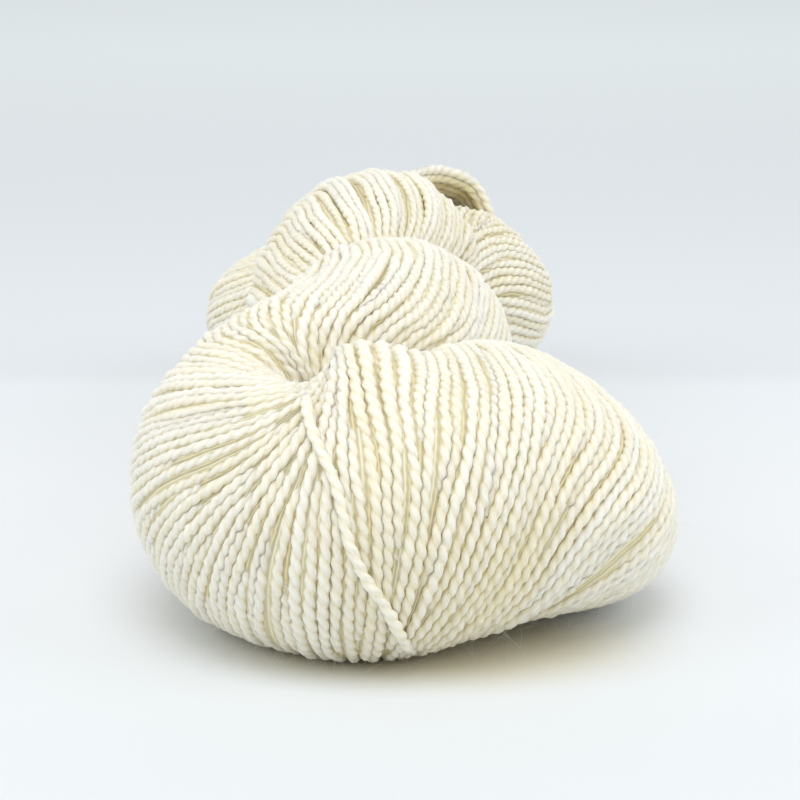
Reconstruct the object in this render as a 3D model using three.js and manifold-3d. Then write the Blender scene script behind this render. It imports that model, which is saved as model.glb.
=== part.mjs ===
// Twisted hank of worsted weight wool yarn, lying on a table.
// A long ring of parallel yarns is twisted on itself, so that two thick strands lie round each
// other like a rope. The ring turns back in a near fold and in a far fold, where a small loop of
// the tucked end stands up. Millimetres, +Z up, X across, Y along the hank, near fold at -Y,
// origin on the table, within 1 mm of under the middle.
import * as THREE from "three";
import { mergeVertices } from "three/addons/utils/BufferGeometryUtils.js";
import Module from "manifold-3d";

// Overall dimensions
const LENGTH = 250; // near fold to far fold
const AXIS_X = -3; // rope axis, across
const AXIS_Z = 29.5; // rope axis, above the table
const AXIS_DRIFT = -4; // sideways drift of the axis between the two places below
const DRIFT_FROM = 110;
const DRIFT_OVER = 50;

// Rope twist: strand centres run on a right-handed helix
const TWIST_RATE = 2.15; // degrees per mm along the rope
const CREST = 86; // distance from the near end where the first strand is on top
const HELIX_RADIUS = 12;
const HELIX_GAIN = 1.5; // added to the radius over GAIN_OVER, towards the far fold
const GAIN_FROM = 128;
const GAIN_OVER = 30;

// Centres that the folds turn round, as distances from the near end
const NEAR_HUB = 46;
const FAR_HUB = 206;
const HUB_DROP = 2; // hub height under the rope axis

// Mesh resolution and the slight ridges where the yarns gather in locks
const SECTIONS = 168;
const SECTION_POINTS = 26;
const MIDDLE_ROWS = [9, 21]; // rows of the tables in the middle of each fold
const LOCK_WIDTH = 12;
const LOCK_HEIGHT = 0.55;
const LOCKS_FADE = [7, 20]; // lean of the yarns over which the ridges fade out
const BEND_LIMIT = [0.55, 0.9]; // inner radius as a part of the bend radius: free, largest

// Half sizes of the strand section: out and in from the rope axis, and to its two sides.
// up is to the right where a strand of the first half is on top, and to the left for the second.
// lean is how far a yarn moves along the strand for each radian round it.
const ROPE_COLUMNS = ["t", "out", "inn", "up", "down", "lean"];
const FIRST_STRAND = [
  [188, 16.0, 15, 21.0, 22, 20],
  [168, 16.8, 15, 21.0, 21, 24],
  [148, 15.5, 15, 20.0, 21, 24],
  [128, 15.0, 15, 19.5, 20, 24],
  [108, 15.0, 15, 19.5, 21, 24],
  [90, 17.0, 15, 21.0, 24, 24],
];
const SECOND_STRAND = [
  [90, 18.4, 15, 21.0, 21, 24],
  [108, 15.0, 15, 20.0, 20, 24],
  [128, 15.0, 15, 20.5, 20, 24],
  [148, 16.0, 15, 23.0, 21, 24],
  [168, 17.5, 15, 25.0, 21, 24],
  [188, 17.0, 15, 22.0, 21, 22],
];

// Folds: the same half sizes round centres at x, t and z, with the roll of the section in
// degrees, and its squareness (2 is an ellipse)
const FOLD_COLUMNS = ["x", "t", "z", "out", "inn", "up", "down", "lean", "roll", "square"];
const NEAR_FOLD = [
  [-18.0, 68, 34.5, 17.0, 15, 24.0, 22.0, 18, 0, 2.0], // rising out of the left lobe
  [-27.5, 47, 27.0, 19.5, 14, 22.0, 26.0, 8, 0, 2.0], // left lobe
  [-23.0, 29, 24.5, 20.5, 18, 22.0, 25.0, 3, 0, 2.0],
  [-7.0, 20, 24.0, 21.0, 20, 23.0, 24.8, 2, 0, 2.1], // front
  [10.0, 29, 25.5, 24.5, 25, 23.0, 22.5, 8, 10, 2.3],
  [20.0, 48, 25.5, 32.5, 25, 20.5, 18.0, 16, 28, 2.2], // right lobe, slumped outwards
  [14.0, 70, 22.0, 22.0, 20, 19.5, 20.0, 22, 20, 2.0], // diving under the first strand
];
const FAR_FOLD = [
  [17.0, 205, 26, 20, 16, 17, 20.0, 16, 0, 2], // right lobe
  [12.0, 222, 22, 19, 18, 18, 22.4, 6, 0, 2],
  [-5.0, 230, 20, 19, 18, 18, 20.8, 4, 0, 2], // far end
  [-23.0, 222, 20, 20, 18, 17, 20.6, 8, 0, 2],
  [-27.0, 205, 21, 20, 16, 17, 19.5, 16, 0, 2], // left lobe
];

// Yarns packed in the middle of each fold, under the pinch: ellipsoids
const CORE_COLUMNS = ["x", "t", "z", "rx", "ry", "rz"];
const FOLD_CORES = [
  [-7, 48, 23, 14, 17, 16],
  [-5, 206, 22, 15, 16, 15],
];

// Loop of the tucked end, standing up over the right side of the far fold
const LOOP_RADIUS = 4.8;
const LOOP_STEPS = 26;
const LOOP_SIDES = 12;
const LOOP_PATH = [
  [-8, 190, 46.5],
  [-2, 198, 51.0],
  [6, 207, 53.0],
  [13, 214, 52.0],
  [19, 217, 47.5],
  [22, 217, 41.0],
  [21, 214, 33.0],
];

const WOOL = new THREE.MeshStandardMaterial({ color: "#f1ead6", roughness: 0.95, metalness: 0 });

const alongHank = (t) => t - LENGTH / 2;
const clamp = THREE.MathUtils.clamp;
const named = (columns, row) => Object.fromEntries(columns.map((key, i) => [key, row[i]]));

// A strand section of the twisted part, on the helix round the rope axis
function ropeSection(row, half) {
  const { t, ...sizes } = named(ROPE_COLUMNS, row);
  const angle = THREE.MathUtils.degToRad((t - CREST) * TWIST_RATE + half * 180);
  const radius = HELIX_RADIUS + HELIX_GAIN * clamp((t - GAIN_FROM) / GAIN_OVER, 0, 1);
  const drift = AXIS_DRIFT * clamp((t - DRIFT_FROM) / DRIFT_OVER, 0, 1);
  const x = AXIS_X + drift + radius * Math.sin(angle);
  const z = AXIS_Z + radius * Math.cos(angle);
  return { x, y: alongHank(t), z, ...sizes, roll: 0, square: 2 };
}

// A strand section of a fold
function foldSection(row) {
  const { t, ...rest } = named(FOLD_COLUMNS, row);
  return { y: alongHank(t), ...rest };
}

// Closed cubic spline through all columns of the rows: returns a sampler of u, in rows
function closedSpline(rows) {
  const keys = Object.keys(rows[0]);
  const count = rows.length;
  const at = (list, i) => list[(i + count) % count];
  const curves = keys.map((key) => {
    const value = rows.map((row) => row[key]);
    const second = value.map(() => 0);
    for (let pass = 0; pass < 40; pass++) {
      for (let i = 0; i < count; i++) {
        const bend = at(value, i - 1) - 2 * value[i] + at(value, i + 1);
        second[i] = (6 * bend - at(second, i - 1) - at(second, i + 1)) / 4;
      }
    }
    return { value, second };
  });
  return (u) => {
    const i = Math.floor(u);
    const b = u - i;
    const a = 1 - b;
    const sample = ({ value, second }) =>
      a * at(value, i % count) + b * at(value, (i % count) + 1) +
      ((a ** 3 - a) * at(second, i % count) + (b ** 3 - b) * at(second, (i % count) + 1)) / 6;
    return Object.fromEntries(keys.map((key, k) => [key, sample(curves[k])]));
  };
}

// Evenly spaced places along the closed centre line
function evenPlaces(sampler, rowCount, count) {
  const fine = 2400;
  const centre = (k) => {
    const { x, y, z } = sampler((k * rowCount) / fine);
    return new THREE.Vector3(x, y, z);
  };
  const reached = [0];
  let last = centre(0);
  for (let k = 1; k <= fine; k++) {
    const next = centre(k % fine);
    reached.push(reached[k - 1] + next.distanceTo(last));
    last = next;
  }
  const total = reached[fine];
  const places = [];
  for (let n = 0, k = 0; n < count; n++) {
    const arc = (n * total) / count;
    while (reached[k + 1] < arc) k++;
    const part = (arc - reached[k]) / (reached[k + 1] - reached[k]);
    places.push({ u: ((k + part) * rowCount) / fine, arc });
  }
  return { places, total };
}

// Ring of points of one section, laid square to the centre line
function sectionRing(sampler, rowCount, { u, arc }, total) {
  const centreAt = (offset) => {
    const { x, y, z } = sampler((u + offset + rowCount) % rowCount);
    return new THREE.Vector3(x, y, z);
  };
  const row = sampler(u);
  const centre = centreAt(0);
  const reach = (4 * rowCount) / total;
  const before = centreAt(-reach);
  const after = centreAt(reach);
  const tangent = centreAt(0.02).sub(centreAt(-0.02)).normalize();
  const halfStep = after.distanceTo(before) / 2;
  const bend = after.clone().add(before).addScaledVector(centre, -2).divideScalar(halfStep ** 2);

  const hub = new THREE.Vector3(
    AXIS_X,
    clamp(centre.y, alongHank(NEAR_HUB), alongHank(FAR_HUB)),
    AXIS_Z - HUB_DROP,
  );
  const flatOut = centre.clone().sub(hub);
  flatOut.addScaledVector(tangent, -flatOut.dot(tangent)).normalize();
  const flatUp = new THREE.Vector3().crossVectors(flatOut, tangent);
  const roll = THREE.MathUtils.degToRad(row.roll);
  const out = flatOut.clone().multiplyScalar(Math.cos(roll)).addScaledVector(flatUp, -Math.sin(roll));
  const up = new THREE.Vector3().crossVectors(out, tangent);

  const [free, largest] = BEND_LIMIT;
  const ridge = LOCK_HEIGHT * (1 - THREE.MathUtils.smoothstep(row.lean, ...LOCKS_FADE));
  const locks = Math.round(total / LOCK_WIDTH);
  const ring = [];
  for (let j = 0; j < SECTION_POINTS; j++) {
    const angle = -Math.PI + (2 * Math.PI * j) / SECTION_POINTS;
    const cos = Math.cos(angle);
    const sin = Math.sin(angle);
    const phase = (2 * Math.PI * locks * (arc - row.lean * angle)) / total;
    const lock = ridge * Math.cos(phase) * Math.max(0, Math.cos(angle / 2));
    const power = 2 / row.square;
    const across = Math.sign(cos) * Math.abs(cos) ** power * ((cos > 0 ? row.out : row.inn) + lock);
    const along = Math.sign(sin) * Math.abs(sin) ** power * ((sin > 0 ? row.up : row.down) + lock);
    const arm = out.clone().multiplyScalar(across).addScaledVector(up, along);
    const share = arm.dot(bend);
    if (share > free) {
      const span = largest - free;
      arm.multiplyScalar((free + span * Math.tanh((share - free) / span)) / share);
    }
    ring.push(centre.clone().add(arm));
  }
  return { centre, ring };
}

// Closed skin over a row of rings, with a fan over each end
function loft(sections) {
  const sides = sections[0].ring.length;
  const positions = [];
  const indices = [];
  for (const { ring } of sections) ring.forEach((p) => positions.push(p.x, p.y, p.z));
  for (let i = 0; i + 1 < sections.length; i++) {
    for (let j = 0; j < sides; j++) {
      const a = i * sides + j;
      const b = i * sides + ((j + 1) % sides);
      indices.push(a, b, b + sides, a, b + sides, a + sides);
    }
  }
  for (const [end, flip] of [[0, true], [sections.length - 1, false]]) {
    const hub = positions.length / 3;
    const { centre } = sections[end];
    positions.push(centre.x, centre.y, centre.z);
    for (let j = 0; j < sides; j++) {
      const a = end * sides + j;
      const b = end * sides + ((j + 1) % sides);
      indices.push(hub, ...(flip ? [b, a] : [a, b]));
    }
  }
  const geometry = new THREE.BufferGeometry();
  geometry.setAttribute("position", new THREE.Float32BufferAttribute(positions, 3));
  geometry.setIndex(indices);
  return geometry;
}

// Loop of the tucked end, as a lofted tube on a curve
function tuckedLoop() {
  const points = LOOP_PATH.map(([x, t, z]) => new THREE.Vector3(x, alongHank(t), z));
  const curve = new THREE.CatmullRomCurve3(points);
  const frames = curve.computeFrenetFrames(LOOP_STEPS, false);
  const sections = [];
  for (let i = 0; i <= LOOP_STEPS; i++) {
    const centre = curve.getPointAt(i / LOOP_STEPS);
    const ring = [];
    for (let j = 0; j < LOOP_SIDES; j++) {
      const angle = (2 * Math.PI * j) / LOOP_SIDES;
      ring.push(
        centre.clone()
          .addScaledVector(frames.normals[i], LOOP_RADIUS * Math.cos(angle))
          .addScaledVector(frames.binormals[i], LOOP_RADIUS * Math.sin(angle)),
      );
    }
    sections.push({ centre, ring });
  }
  return loft(sections);
}

// Packed yarns in the middle of a fold
function foldCore(row) {
  const { x, t, z, rx, ry, rz } = named(CORE_COLUMNS, row);
  const geometry = new THREE.SphereGeometry(1, 24, 14);
  geometry.scale(rx, ry, rz).translate(x, alongHank(t), z);
  return geometry;
}

const wasm = await Module();
wasm.setup();

// Solid from a closed geometry, turned right side out if its faces point inwards
function toSolid(geometry) {
  geometry.deleteAttribute("normal");
  geometry.deleteAttribute("uv");
  const merged = mergeVertices(geometry, 1e-4);
  const triVerts = Uint32Array.from(merged.index.array);
  const vertProperties = Float32Array.from(merged.attributes.position.array);
  const build = () => new wasm.Manifold(new wasm.Mesh({ numProp: 3, vertProperties, triVerts }));
  const solid = build();
  if (solid.volume() > 0) return solid;
  for (let i = 0; i < triVerts.length; i += 3) {
    [triVerts[i + 1], triVerts[i + 2]] = [triVerts[i + 2], triVerts[i + 1]];
  }
  return build();
}

// The hank: all pieces of the strand joined, and cut flat where it rests on the table
function hankGeometry() {
  const rows = [
    ...FIRST_STRAND.map((row) => ropeSection(row, 0)),
    ...NEAR_FOLD.map(foldSection),
    ...SECOND_STRAND.map((row) => ropeSection(row, 1)),
    ...FAR_FOLD.map(foldSection),
  ];
  const sampler = closedSpline(rows);
  const { places, total } = evenPlaces(sampler, rows.length, SECTIONS);
  const sections = places.map((place) => sectionRing(sampler, rows.length, place, total));
  const [near, far] = MIDDLE_ROWS.map((row) => places.findIndex(({ u }) => u >= row));
  const around = [...sections, ...sections];
  const halves = [around.slice(near, far + 1), around.slice(far, near + SECTIONS + 1)];
  const pieces = [...halves.map(loft), ...FOLD_CORES.map(foldCore), tuckedLoop()];
  const table = new THREE.BoxGeometry(2 * LENGTH, 2 * LENGTH, LENGTH);
  table.translate(0, 0, -LENGTH / 2);
  const joined = pieces.map(toSolid).reduce((all, piece) => all.add(piece));
  const { vertProperties, triVerts } = joined.subtract(toSolid(table)).getMesh();

  const geometry = new THREE.BufferGeometry();
  geometry.setAttribute("position", new THREE.BufferAttribute(Float32Array.from(vertProperties), 3));
  geometry.setIndex(new THREE.BufferAttribute(Uint32Array.from(triVerts), 1));
  geometry.computeVertexNormals();
  return geometry;
}

const hank = new THREE.Mesh(hankGeometry(), WOOL);
hank.name = "hank";
const part = new THREE.Group();
part.add(hank);

export default part;
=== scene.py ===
import logging
import math
from dataclasses import dataclass, field
from enum import Enum

import bpy
import numpy as np
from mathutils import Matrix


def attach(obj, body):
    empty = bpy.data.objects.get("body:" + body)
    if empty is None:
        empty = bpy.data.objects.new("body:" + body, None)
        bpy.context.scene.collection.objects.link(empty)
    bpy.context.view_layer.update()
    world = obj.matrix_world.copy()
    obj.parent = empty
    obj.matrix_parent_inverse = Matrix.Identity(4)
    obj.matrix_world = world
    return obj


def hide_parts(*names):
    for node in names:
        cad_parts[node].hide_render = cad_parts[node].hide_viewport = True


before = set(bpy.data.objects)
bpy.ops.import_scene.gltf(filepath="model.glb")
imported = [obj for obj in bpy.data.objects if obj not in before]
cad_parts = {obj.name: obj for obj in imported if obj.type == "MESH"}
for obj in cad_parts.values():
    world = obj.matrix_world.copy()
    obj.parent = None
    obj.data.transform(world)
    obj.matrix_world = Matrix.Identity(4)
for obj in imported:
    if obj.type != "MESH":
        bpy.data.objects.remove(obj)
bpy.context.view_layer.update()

# Twisted hank of cream, undyed, two-ply worsted weight wool yarn.
#
# The solid of the hank gives the form. Here every turn of yarn that shows is laid over that form
# as a tube of two plies wound round each other, over a ribbed skin of the turns underneath.
# Sizes are in millimetres, and a mesh gets its metres when it is made.

MM = 0.001
LENGTH = 250.0  # near fold to far fold
TO_MIDDLE = np.array([-0.65, 0.72, 0.0])  # moves the middle of the hank to the origin
FROM_NEAR_END = TO_MIDDLE - [0, LENGTH / 2, 0]  # moves x, t, z to the frame, t from the near end
FULL_TURN = 6.28  # radians within which a random start is drawn
LEAST_LENGTH = 1e-9  # divisor for a vector of no length
TINY = 1e-6  # keeps a share off zero and a place short of its last knot
log = logging.getLogger("hank")


# Arrays and noise

def closed_spline(rows: np.ndarray, u: np.ndarray) -> np.ndarray:
    """Values on a closed cubic spline through the rows.

    The second differences m solve m[i-1] + 4 m[i] + m[i+1] = 6 (p[i-1] - 2 p[i] + p[i+1]), and a
    value is the straight mix of two rows plus their cubic share of m.

    Args:
        rows: one row for each knot, with any number of columns.
        u: places, in rows, which wrap round.

    Returns:
        One row of values for each place.
    """
    count = len(rows)
    unit = np.eye(count)
    matrix = 4 * unit + np.roll(unit, 1, 0) + np.roll(unit, -1, 0)
    second = np.linalg.solve(matrix, 6 * (np.roll(rows, 1, 0) - 2 * rows + np.roll(rows, -1, 0)))
    wrapped = np.mod(u, count)
    low = np.floor(wrapped).astype(int) % count
    high = (low + 1) % count
    b = (wrapped - np.floor(wrapped))[:, None]
    a = 1 - b
    return (a * rows[low] + b * rows[high]
            + ((a ** 3 - a) * second[low] + (b ** 3 - b) * second[high]) / 6)


def unit_rows(vectors: np.ndarray) -> np.ndarray:
    """Vectors scaled to length 1 along the last axis."""
    return vectors / np.maximum(np.linalg.norm(vectors, axis=-1, keepdims=True), LEAST_LENGTH)


def dot_rows(a: np.ndarray, b: np.ndarray) -> np.ndarray:
    """Dot products along the last axis, which is kept with length 1."""
    return (a * b).sum(-1, keepdims=True)


def smooth_step(value: np.ndarray, low: float, high: float) -> np.ndarray:
    """Step from 0 at low to 1 at high with level ends: 3 x^2 - 2 x^3."""
    x = np.clip((value - low) / (high - low), 0, 1)
    return x * x * (3 - 2 * x)


def raised_cosine(count: int) -> np.ndarray:
    """Weights of a mean, in the shape of a raised cosine."""
    weights = np.hanning(count)
    return weights / weights.sum()


@dataclass
class SmoothNoise:
    """Random values on a square grid that wraps round, joined by smooth steps."""

    seed: int
    cells: int = 64
    grid: np.ndarray = field(init=False, repr=False)

    def __post_init__(self) -> None:
        """Draws the values, from -1 to 1."""
        self.grid = np.random.default_rng(self.seed).uniform(-1, 1, (self.cells, self.cells))

    def at(self, u: np.ndarray, v: np.ndarray) -> np.ndarray:
        """Noise at u and v, in cells.

        Args:
            u: first coordinate.
            v: second coordinate, of a shape that fits the first.

        Returns:
            Values from -1 to 1.
        """
        iu, iv = np.floor(u).astype(int), np.floor(v).astype(int)
        fu, fv = smooth_step(u - iu, 0, 1), smooth_step(v - iv, 0, 1)
        n = self.cells
        a, b, c, d = (self.grid[(iu + p) % n, (iv + q) % n] for p in (0, 1) for q in (0, 1))
        return (a * (1 - fv) + b * fv) * (1 - fu) + (c * (1 - fv) + d * fv) * fu


# Form of the hank

@dataclass(frozen=True)
class RopeRow:
    """A section of the twisted part: distance from the near end, half sizes and yarn lean."""

    t: float
    out: float
    inn: float
    up: float
    down: float
    lean: float


@dataclass(frozen=True)
class FoldRow:
    """A section of a fold: centre, half sizes, yarn lean below and on top, roll in degrees and
    squareness."""

    x: float
    t: float
    z: float
    out: float
    inn: float
    up: float
    down: float
    lean: float
    lean_top: float
    roll: float = 0.0
    square: float = 2.0


FIRST_STRAND = (
    RopeRow(188, 16.0, 15, 21.0, 22, 20),
    RopeRow(168, 16.8, 15, 21.0, 21, 20),
    RopeRow(148, 15.5, 15, 20.0, 21, 19),
    RopeRow(128, 15.0, 15, 19.5, 20, 17),
    RopeRow(108, 15.0, 15, 19.5, 21, 14),
    RopeRow(90, 17.0, 15, 21.0, 24, 15),
)
NEAR_FOLD = (
    FoldRow(-18.0, 68, 34.5, 17.0, 15, 24.0, 22.0, 19.0, 17.5),
    FoldRow(-27.5, 47, 27.0, 19.5, 14, 22.0, 26.0, 16.0, 15.5),
    FoldRow(-23.0, 29, 24.5, 20.5, 18, 22.0, 25.0, 9.0, 21.0),
    FoldRow(-7.0, 20, 24.0, 21.0, 20, 23.0, 24.8, 0.0, -1.0, square=2.1),
    FoldRow(10.0, 29, 25.5, 24.5, 25, 23.0, 22.5, 7.8, 11.4, 10, 2.3),
    FoldRow(20.0, 48, 25.5, 32.5, 25, 20.5, 18.0, 17.0, 22.0, 28, 2.2),
    FoldRow(14.0, 70, 22.0, 22.0, 20, 19.5, 20.0, 22.0, 22.0, 20),
)
SECOND_STRAND = (
    RopeRow(90, 18.4, 15, 21.0, 21, 22),
    RopeRow(108, 15.0, 15, 20.0, 20, 21),
    RopeRow(128, 15.0, 15, 20.5, 20, 19),
    RopeRow(148, 16.0, 15, 23.0, 21, 18),
    RopeRow(168, 17.5, 15, 25.0, 21, 16),
    RopeRow(188, 17.0, 15, 22.0, 21, 14),
)
FAR_FOLD = (
    FoldRow(17.0, 205, 26, 20, 16, 17, 20.0, 16, 16),
    FoldRow(12.0, 222, 22, 19, 18, 18, 22.4, 6, 6),
    FoldRow(-5.0, 230, 20, 19, 18, 18, 20.8, 4, 4),
    FoldRow(-23.0, 222, 20, 20, 18, 17, 20.6, 8, 8),
    FoldRow(-27.0, 205, 21, 20, 16, 17, 19.5, 16, 16),
)


@dataclass(frozen=True)
class Veer:
    """A stretch of the strand where the yarns lean more: its middle and half width in arc, the
    degrees round the section over which it sets in, and the further lean."""

    arc: float
    over: float
    low: float
    high: float
    more: float


VEERS = (
    Veer(209.0, 7.0, -200, -190, 4.3),  # the front turns fan out to the right
    Veer(214.0, 12.0, 65, 95, 9.0),  # and stand upright where they pass over the top
    Veer(186.0, 4.5, 10, 35, 6.0),  # the lock that crosses the left lobe
    Veer(157.0, 6.5, 50, 90, -9.0),  # the turns that dive under the left lobe
)


@dataclass(frozen=True)
class Dent:
    """A place that is pushed, by a bell exp(-r^2): its middle as x, t, z, its reach and push."""

    middle: tuple[float, float, float]
    reach: tuple[float, float, float]
    push: tuple[float, float, float]


DENTS = (
    Dent((-8.0, 27.0, 46.0), (9.0, 14.0, 14.0), (-3.0, 0.0, 0.0)),  # the pinch of the near fold
    Dent((13.5, 192.0, 54.0), (6.0, 10.0, 9.0), (0.0, 0.0, -8.5)),  # before the tucked end
    Dent((19.0, 88.0, 47.0), (10.0, 14.0, 14.0), (-1.8, 0.0, -1.6)),  # right of the crossing
    Dent((-3.0, 93.0, 58.0), (12.0, 10.0, 8.0), (0.0, 0.0, -1.5)),  # top of the crossing
)


@dataclass(frozen=True)
class Rise:
    """Rise of the fold to the right of the pinch: its height, and the bounds of the smooth steps
    by which it sets in and fades, in x, in the distance t from the near end and in z."""

    height: float = 6.0
    in_x: tuple[float, float] = (-13.0, -7.5)
    out_x: tuple[float, float] = (-6.0, 6.0)
    in_t: tuple[float, float] = (6.0, 26.0)
    out_t: tuple[float, float] = (38.0, 58.0)
    in_z: tuple[float, float] = (15.0, 40.0)

    def at(self, x: np.ndarray, t: np.ndarray, z: np.ndarray) -> np.ndarray:
        """Rise at points: the height times a smooth step for each bound.

        Args:
            x: places across the hank.
            t: distances from the near end.
            z: heights above the floor.

        Returns:
            How far each point is lifted.
        """
        rise = self.height * smooth_step(x, *self.in_x) * (1 - smooth_step(x, *self.out_x))
        rise = rise * smooth_step(t, *self.in_t) * (1 - smooth_step(t, *self.out_t))
        return rise * smooth_step(z, *self.in_z)


# Columns of a section's row, and of the table of stations
ROW_SIZES, ROW_ROLL = slice(3, 10), slice(10, 11)
CENTRE, OUT, UP, BEND = slice(0, 3), slice(3, 6), slice(6, 9), slice(9, 12)
HALF_OUT, HALF_IN, HALF_UP, HALF_DOWN, SQUARE, LEAN, LEAN_TOP = range(12, 19)
OUTSIDE = -99.0  # depth of a point that no section holds


@dataclass
class StrandForm:
    """Outer form of the strand, as a tube of changing section on a closed centre line.

    A place on it is an arc, the distance along the centre line, and an angle round the section:
    0 faces away from the rope axis, and plus and minus pi face it.
    """

    axis_x: float = -3.0
    axis_z: float = 29.5
    axis_drift: float = -4.0  # of the rope axis in x, towards the far end
    drift_from: float = 110.0
    drift_over: float = 50.0
    twist_rate: float = 2.15  # degrees for each millimetre
    crest: float = 86.0  # where the first strand is on top
    helix_radius: float = 12.0
    helix_gain: float = 1.5  # of the radius, towards the far end
    gain_from: float = 128.0
    gain_over: float = 30.0
    near_hub: float = 46.0  # ends of the line that the sections face away from
    far_hub: float = 206.0
    hub_drop: float = 2.0
    bend_limit: tuple[float, float] = (0.75, 0.93)  # free and largest share of the bend radius
    bend_over: float = 4.0  # distance before and behind over which a bend is measured
    top_from: float = -25.0  # degrees round the section where the lean of the top sets in
    top_until: float = 55.0
    rise: Rise = Rise()
    stations: int = 2400
    row_step: float = 0.02  # in rows, to either side, for a tangent
    angle_step: float = 0.02  # and in angle and arc, for a normal
    arc_step: float = 0.4
    coarse: float = 2.5  # between the sections that a point is tested against
    slab: float = 2.2  # half thickness of such a section
    own_stretch: float = 45.0  # along which a strand isn't tested against itself
    block: int = 6000  # points tested at once
    total: float = field(init=False)  # length of the centre line
    tangent: np.ndarray = field(init=False, repr=False)  # at the stations
    table: np.ndarray = field(init=False, repr=False)  # one row for each station

    def rope_section(self, row: RopeRow, half: int) -> list[float]:
        """Row of a section on the helix round the rope axis.

        Args:
            row: the sizes.
            half: 0 for the first strand and 1 for the second, half a turn further round.

        Returns:
            x, y, z, out, inn, up, down, squareness, lean, lean on top and roll.
        """
        angle = math.radians((row.t - self.crest) * self.twist_rate + 180 * half)
        gain = min(max((row.t - self.gain_from) / self.gain_over, 0), 1)
        drift = min(max((row.t - self.drift_from) / self.drift_over, 0), 1)
        radius = self.helix_radius + self.helix_gain * gain
        x = self.axis_x + self.axis_drift * drift + radius * math.sin(angle)
        z = self.axis_z + radius * math.cos(angle)
        return [x, row.t - LENGTH / 2, z, row.out, row.inn, row.up, row.down, 2, row.lean,
                row.lean, 0]

    @staticmethod
    def fold_section(row: FoldRow) -> list[float]:
        """Row of a section of a fold, in the order of rope_section."""
        return [row.x, row.t - LENGTH / 2, row.z, row.out, row.inn, row.up, row.down,
                row.square, row.lean, row.lean_top, row.roll]

    def __post_init__(self) -> None:
        """Works out the centre line, its frames and its sizes at evenly spaced stations.

        The way out of a section is from the line between the hubs to the centre, square to the
        tangent, and turned by the roll. The bend is the second difference of the centre line.
        """
        rows = np.array([self.rope_section(r, 0) for r in FIRST_STRAND]
                        + [self.fold_section(r) for r in NEAR_FOLD]
                        + [self.rope_section(r, 1) for r in SECOND_STRAND]
                        + [self.fold_section(r) for r in FAR_FOLD], float)
        count = len(rows)
        fine = np.arange(self.stations + 1) * count / self.stations
        path = closed_spline(rows, fine)[:, CENTRE]
        steps = np.linalg.norm(np.diff(path, axis=0), axis=1)
        reached = np.concatenate([[0.0], np.cumsum(steps)])
        self.total = float(reached[-1])
        even = np.arange(self.stations) * self.total / self.stations
        u = np.interp(even, reached, fine)
        data = closed_spline(rows, u)
        centre = data[:, CENTRE]
        reach = self.bend_over * count / self.total
        before = closed_spline(rows, u - reach)[:, CENTRE]
        after = closed_spline(rows, u + reach)[:, CENTRE]
        tangent = unit_rows(closed_spline(rows, u + self.row_step)[:, CENTRE]
                            - closed_spline(rows, u - self.row_step)[:, CENTRE])
        half_step = np.linalg.norm(after - before, axis=1, keepdims=True) / 2
        bend = (after + before - 2 * centre) / half_step ** 2
        hub = np.stack([np.full(self.stations, self.axis_x),
                        np.clip(centre[:, 1], self.near_hub - LENGTH / 2,
                                self.far_hub - LENGTH / 2),
                        np.full(self.stations, self.axis_z - self.hub_drop)], 1)
        flat_out = centre - hub
        flat_out = unit_rows(flat_out - dot_rows(flat_out, tangent) * tangent)
        flat_up = np.cross(flat_out, tangent)
        roll = np.radians(data[:, ROW_ROLL])
        out = flat_out * np.cos(roll) - flat_up * np.sin(roll)
        self.tangent = tangent
        self.table = np.concatenate([centre, out, np.cross(out, tangent), bend,
                                     data[:, ROW_SIZES]], 1)

    def station(self, arc: np.ndarray) -> np.ndarray:
        """Rows of the station table at any arcs, each the straight mix of two stations.

        Args:
            arc: distances along the centre line, of any shape.

        Returns:
            Centre, out, up, bend, four half sizes, squareness and the two leans, in one more
            axis.
        """
        place = np.mod(arc, self.total) * self.stations / self.total
        low = np.floor(place).astype(int)
        part = (place - low)[..., None]
        return self.table[low % self.stations] * (1 - part) + (
            self.table[(low + 1) % self.stations] * part)

    def point(self, arc: np.ndarray, angle: np.ndarray) -> np.ndarray:
        """Points of the surface.

        The arm from the centre is out |cos|^p a + up |sin|^p b with p = 2 / squareness, where a
        and b are the half sizes of that quarter. Where it reaches beyond its free share of the
        bend radius it is drawn in, by tanh, to the largest share.

        Args:
            arc: distances along the centre line.
            angle: angles round the section, of the same shape.

        Returns:
            The points, in millimetres, with one more axis.
        """
        s = self.station(arc)
        cos, sin = np.cos(angle), np.sin(angle)
        power = 2 / s[..., SQUARE]
        across = np.sign(cos) * np.abs(cos) ** power * np.where(cos > 0, s[..., HALF_OUT],
                                                                s[..., HALF_IN])
        along = np.sign(sin) * np.abs(sin) ** power * np.where(sin > 0, s[..., HALF_UP],
                                                               s[..., HALF_DOWN])
        arm = s[..., OUT] * across[..., None] + s[..., UP] * along[..., None]
        share = dot_rows(arm, s[..., BEND])
        free, largest = self.bend_limit
        span = largest - free
        drawn = (free + span * np.tanh((share - free) / span)) / np.maximum(share, TINY)
        return self.swelled(s[..., CENTRE] + arm * np.where(share > free, drawn, 1)) + TO_MIDDLE

    def swelled(self, points: np.ndarray) -> np.ndarray:
        """Lifts points beside the pinch of the near fold, and pushes those at the dents.

        Args:
            points: points of the plain tube, before the hank's middle goes to the origin.

        Returns:
            The moved points.
        """
        x, t, z = points[..., 0], points[..., 1] + LENGTH / 2, points[..., 2]
        lift = self.rise.at(x, t, z)
        moved = points + np.stack([0 * lift, 0 * lift, lift], -1)
        for dent in DENTS:
            away = (np.stack([x, t, z], -1) - dent.middle) / dent.reach
            moved = moved + np.exp(-(away ** 2).sum(-1))[..., None] * dent.push
        return moved

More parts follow.
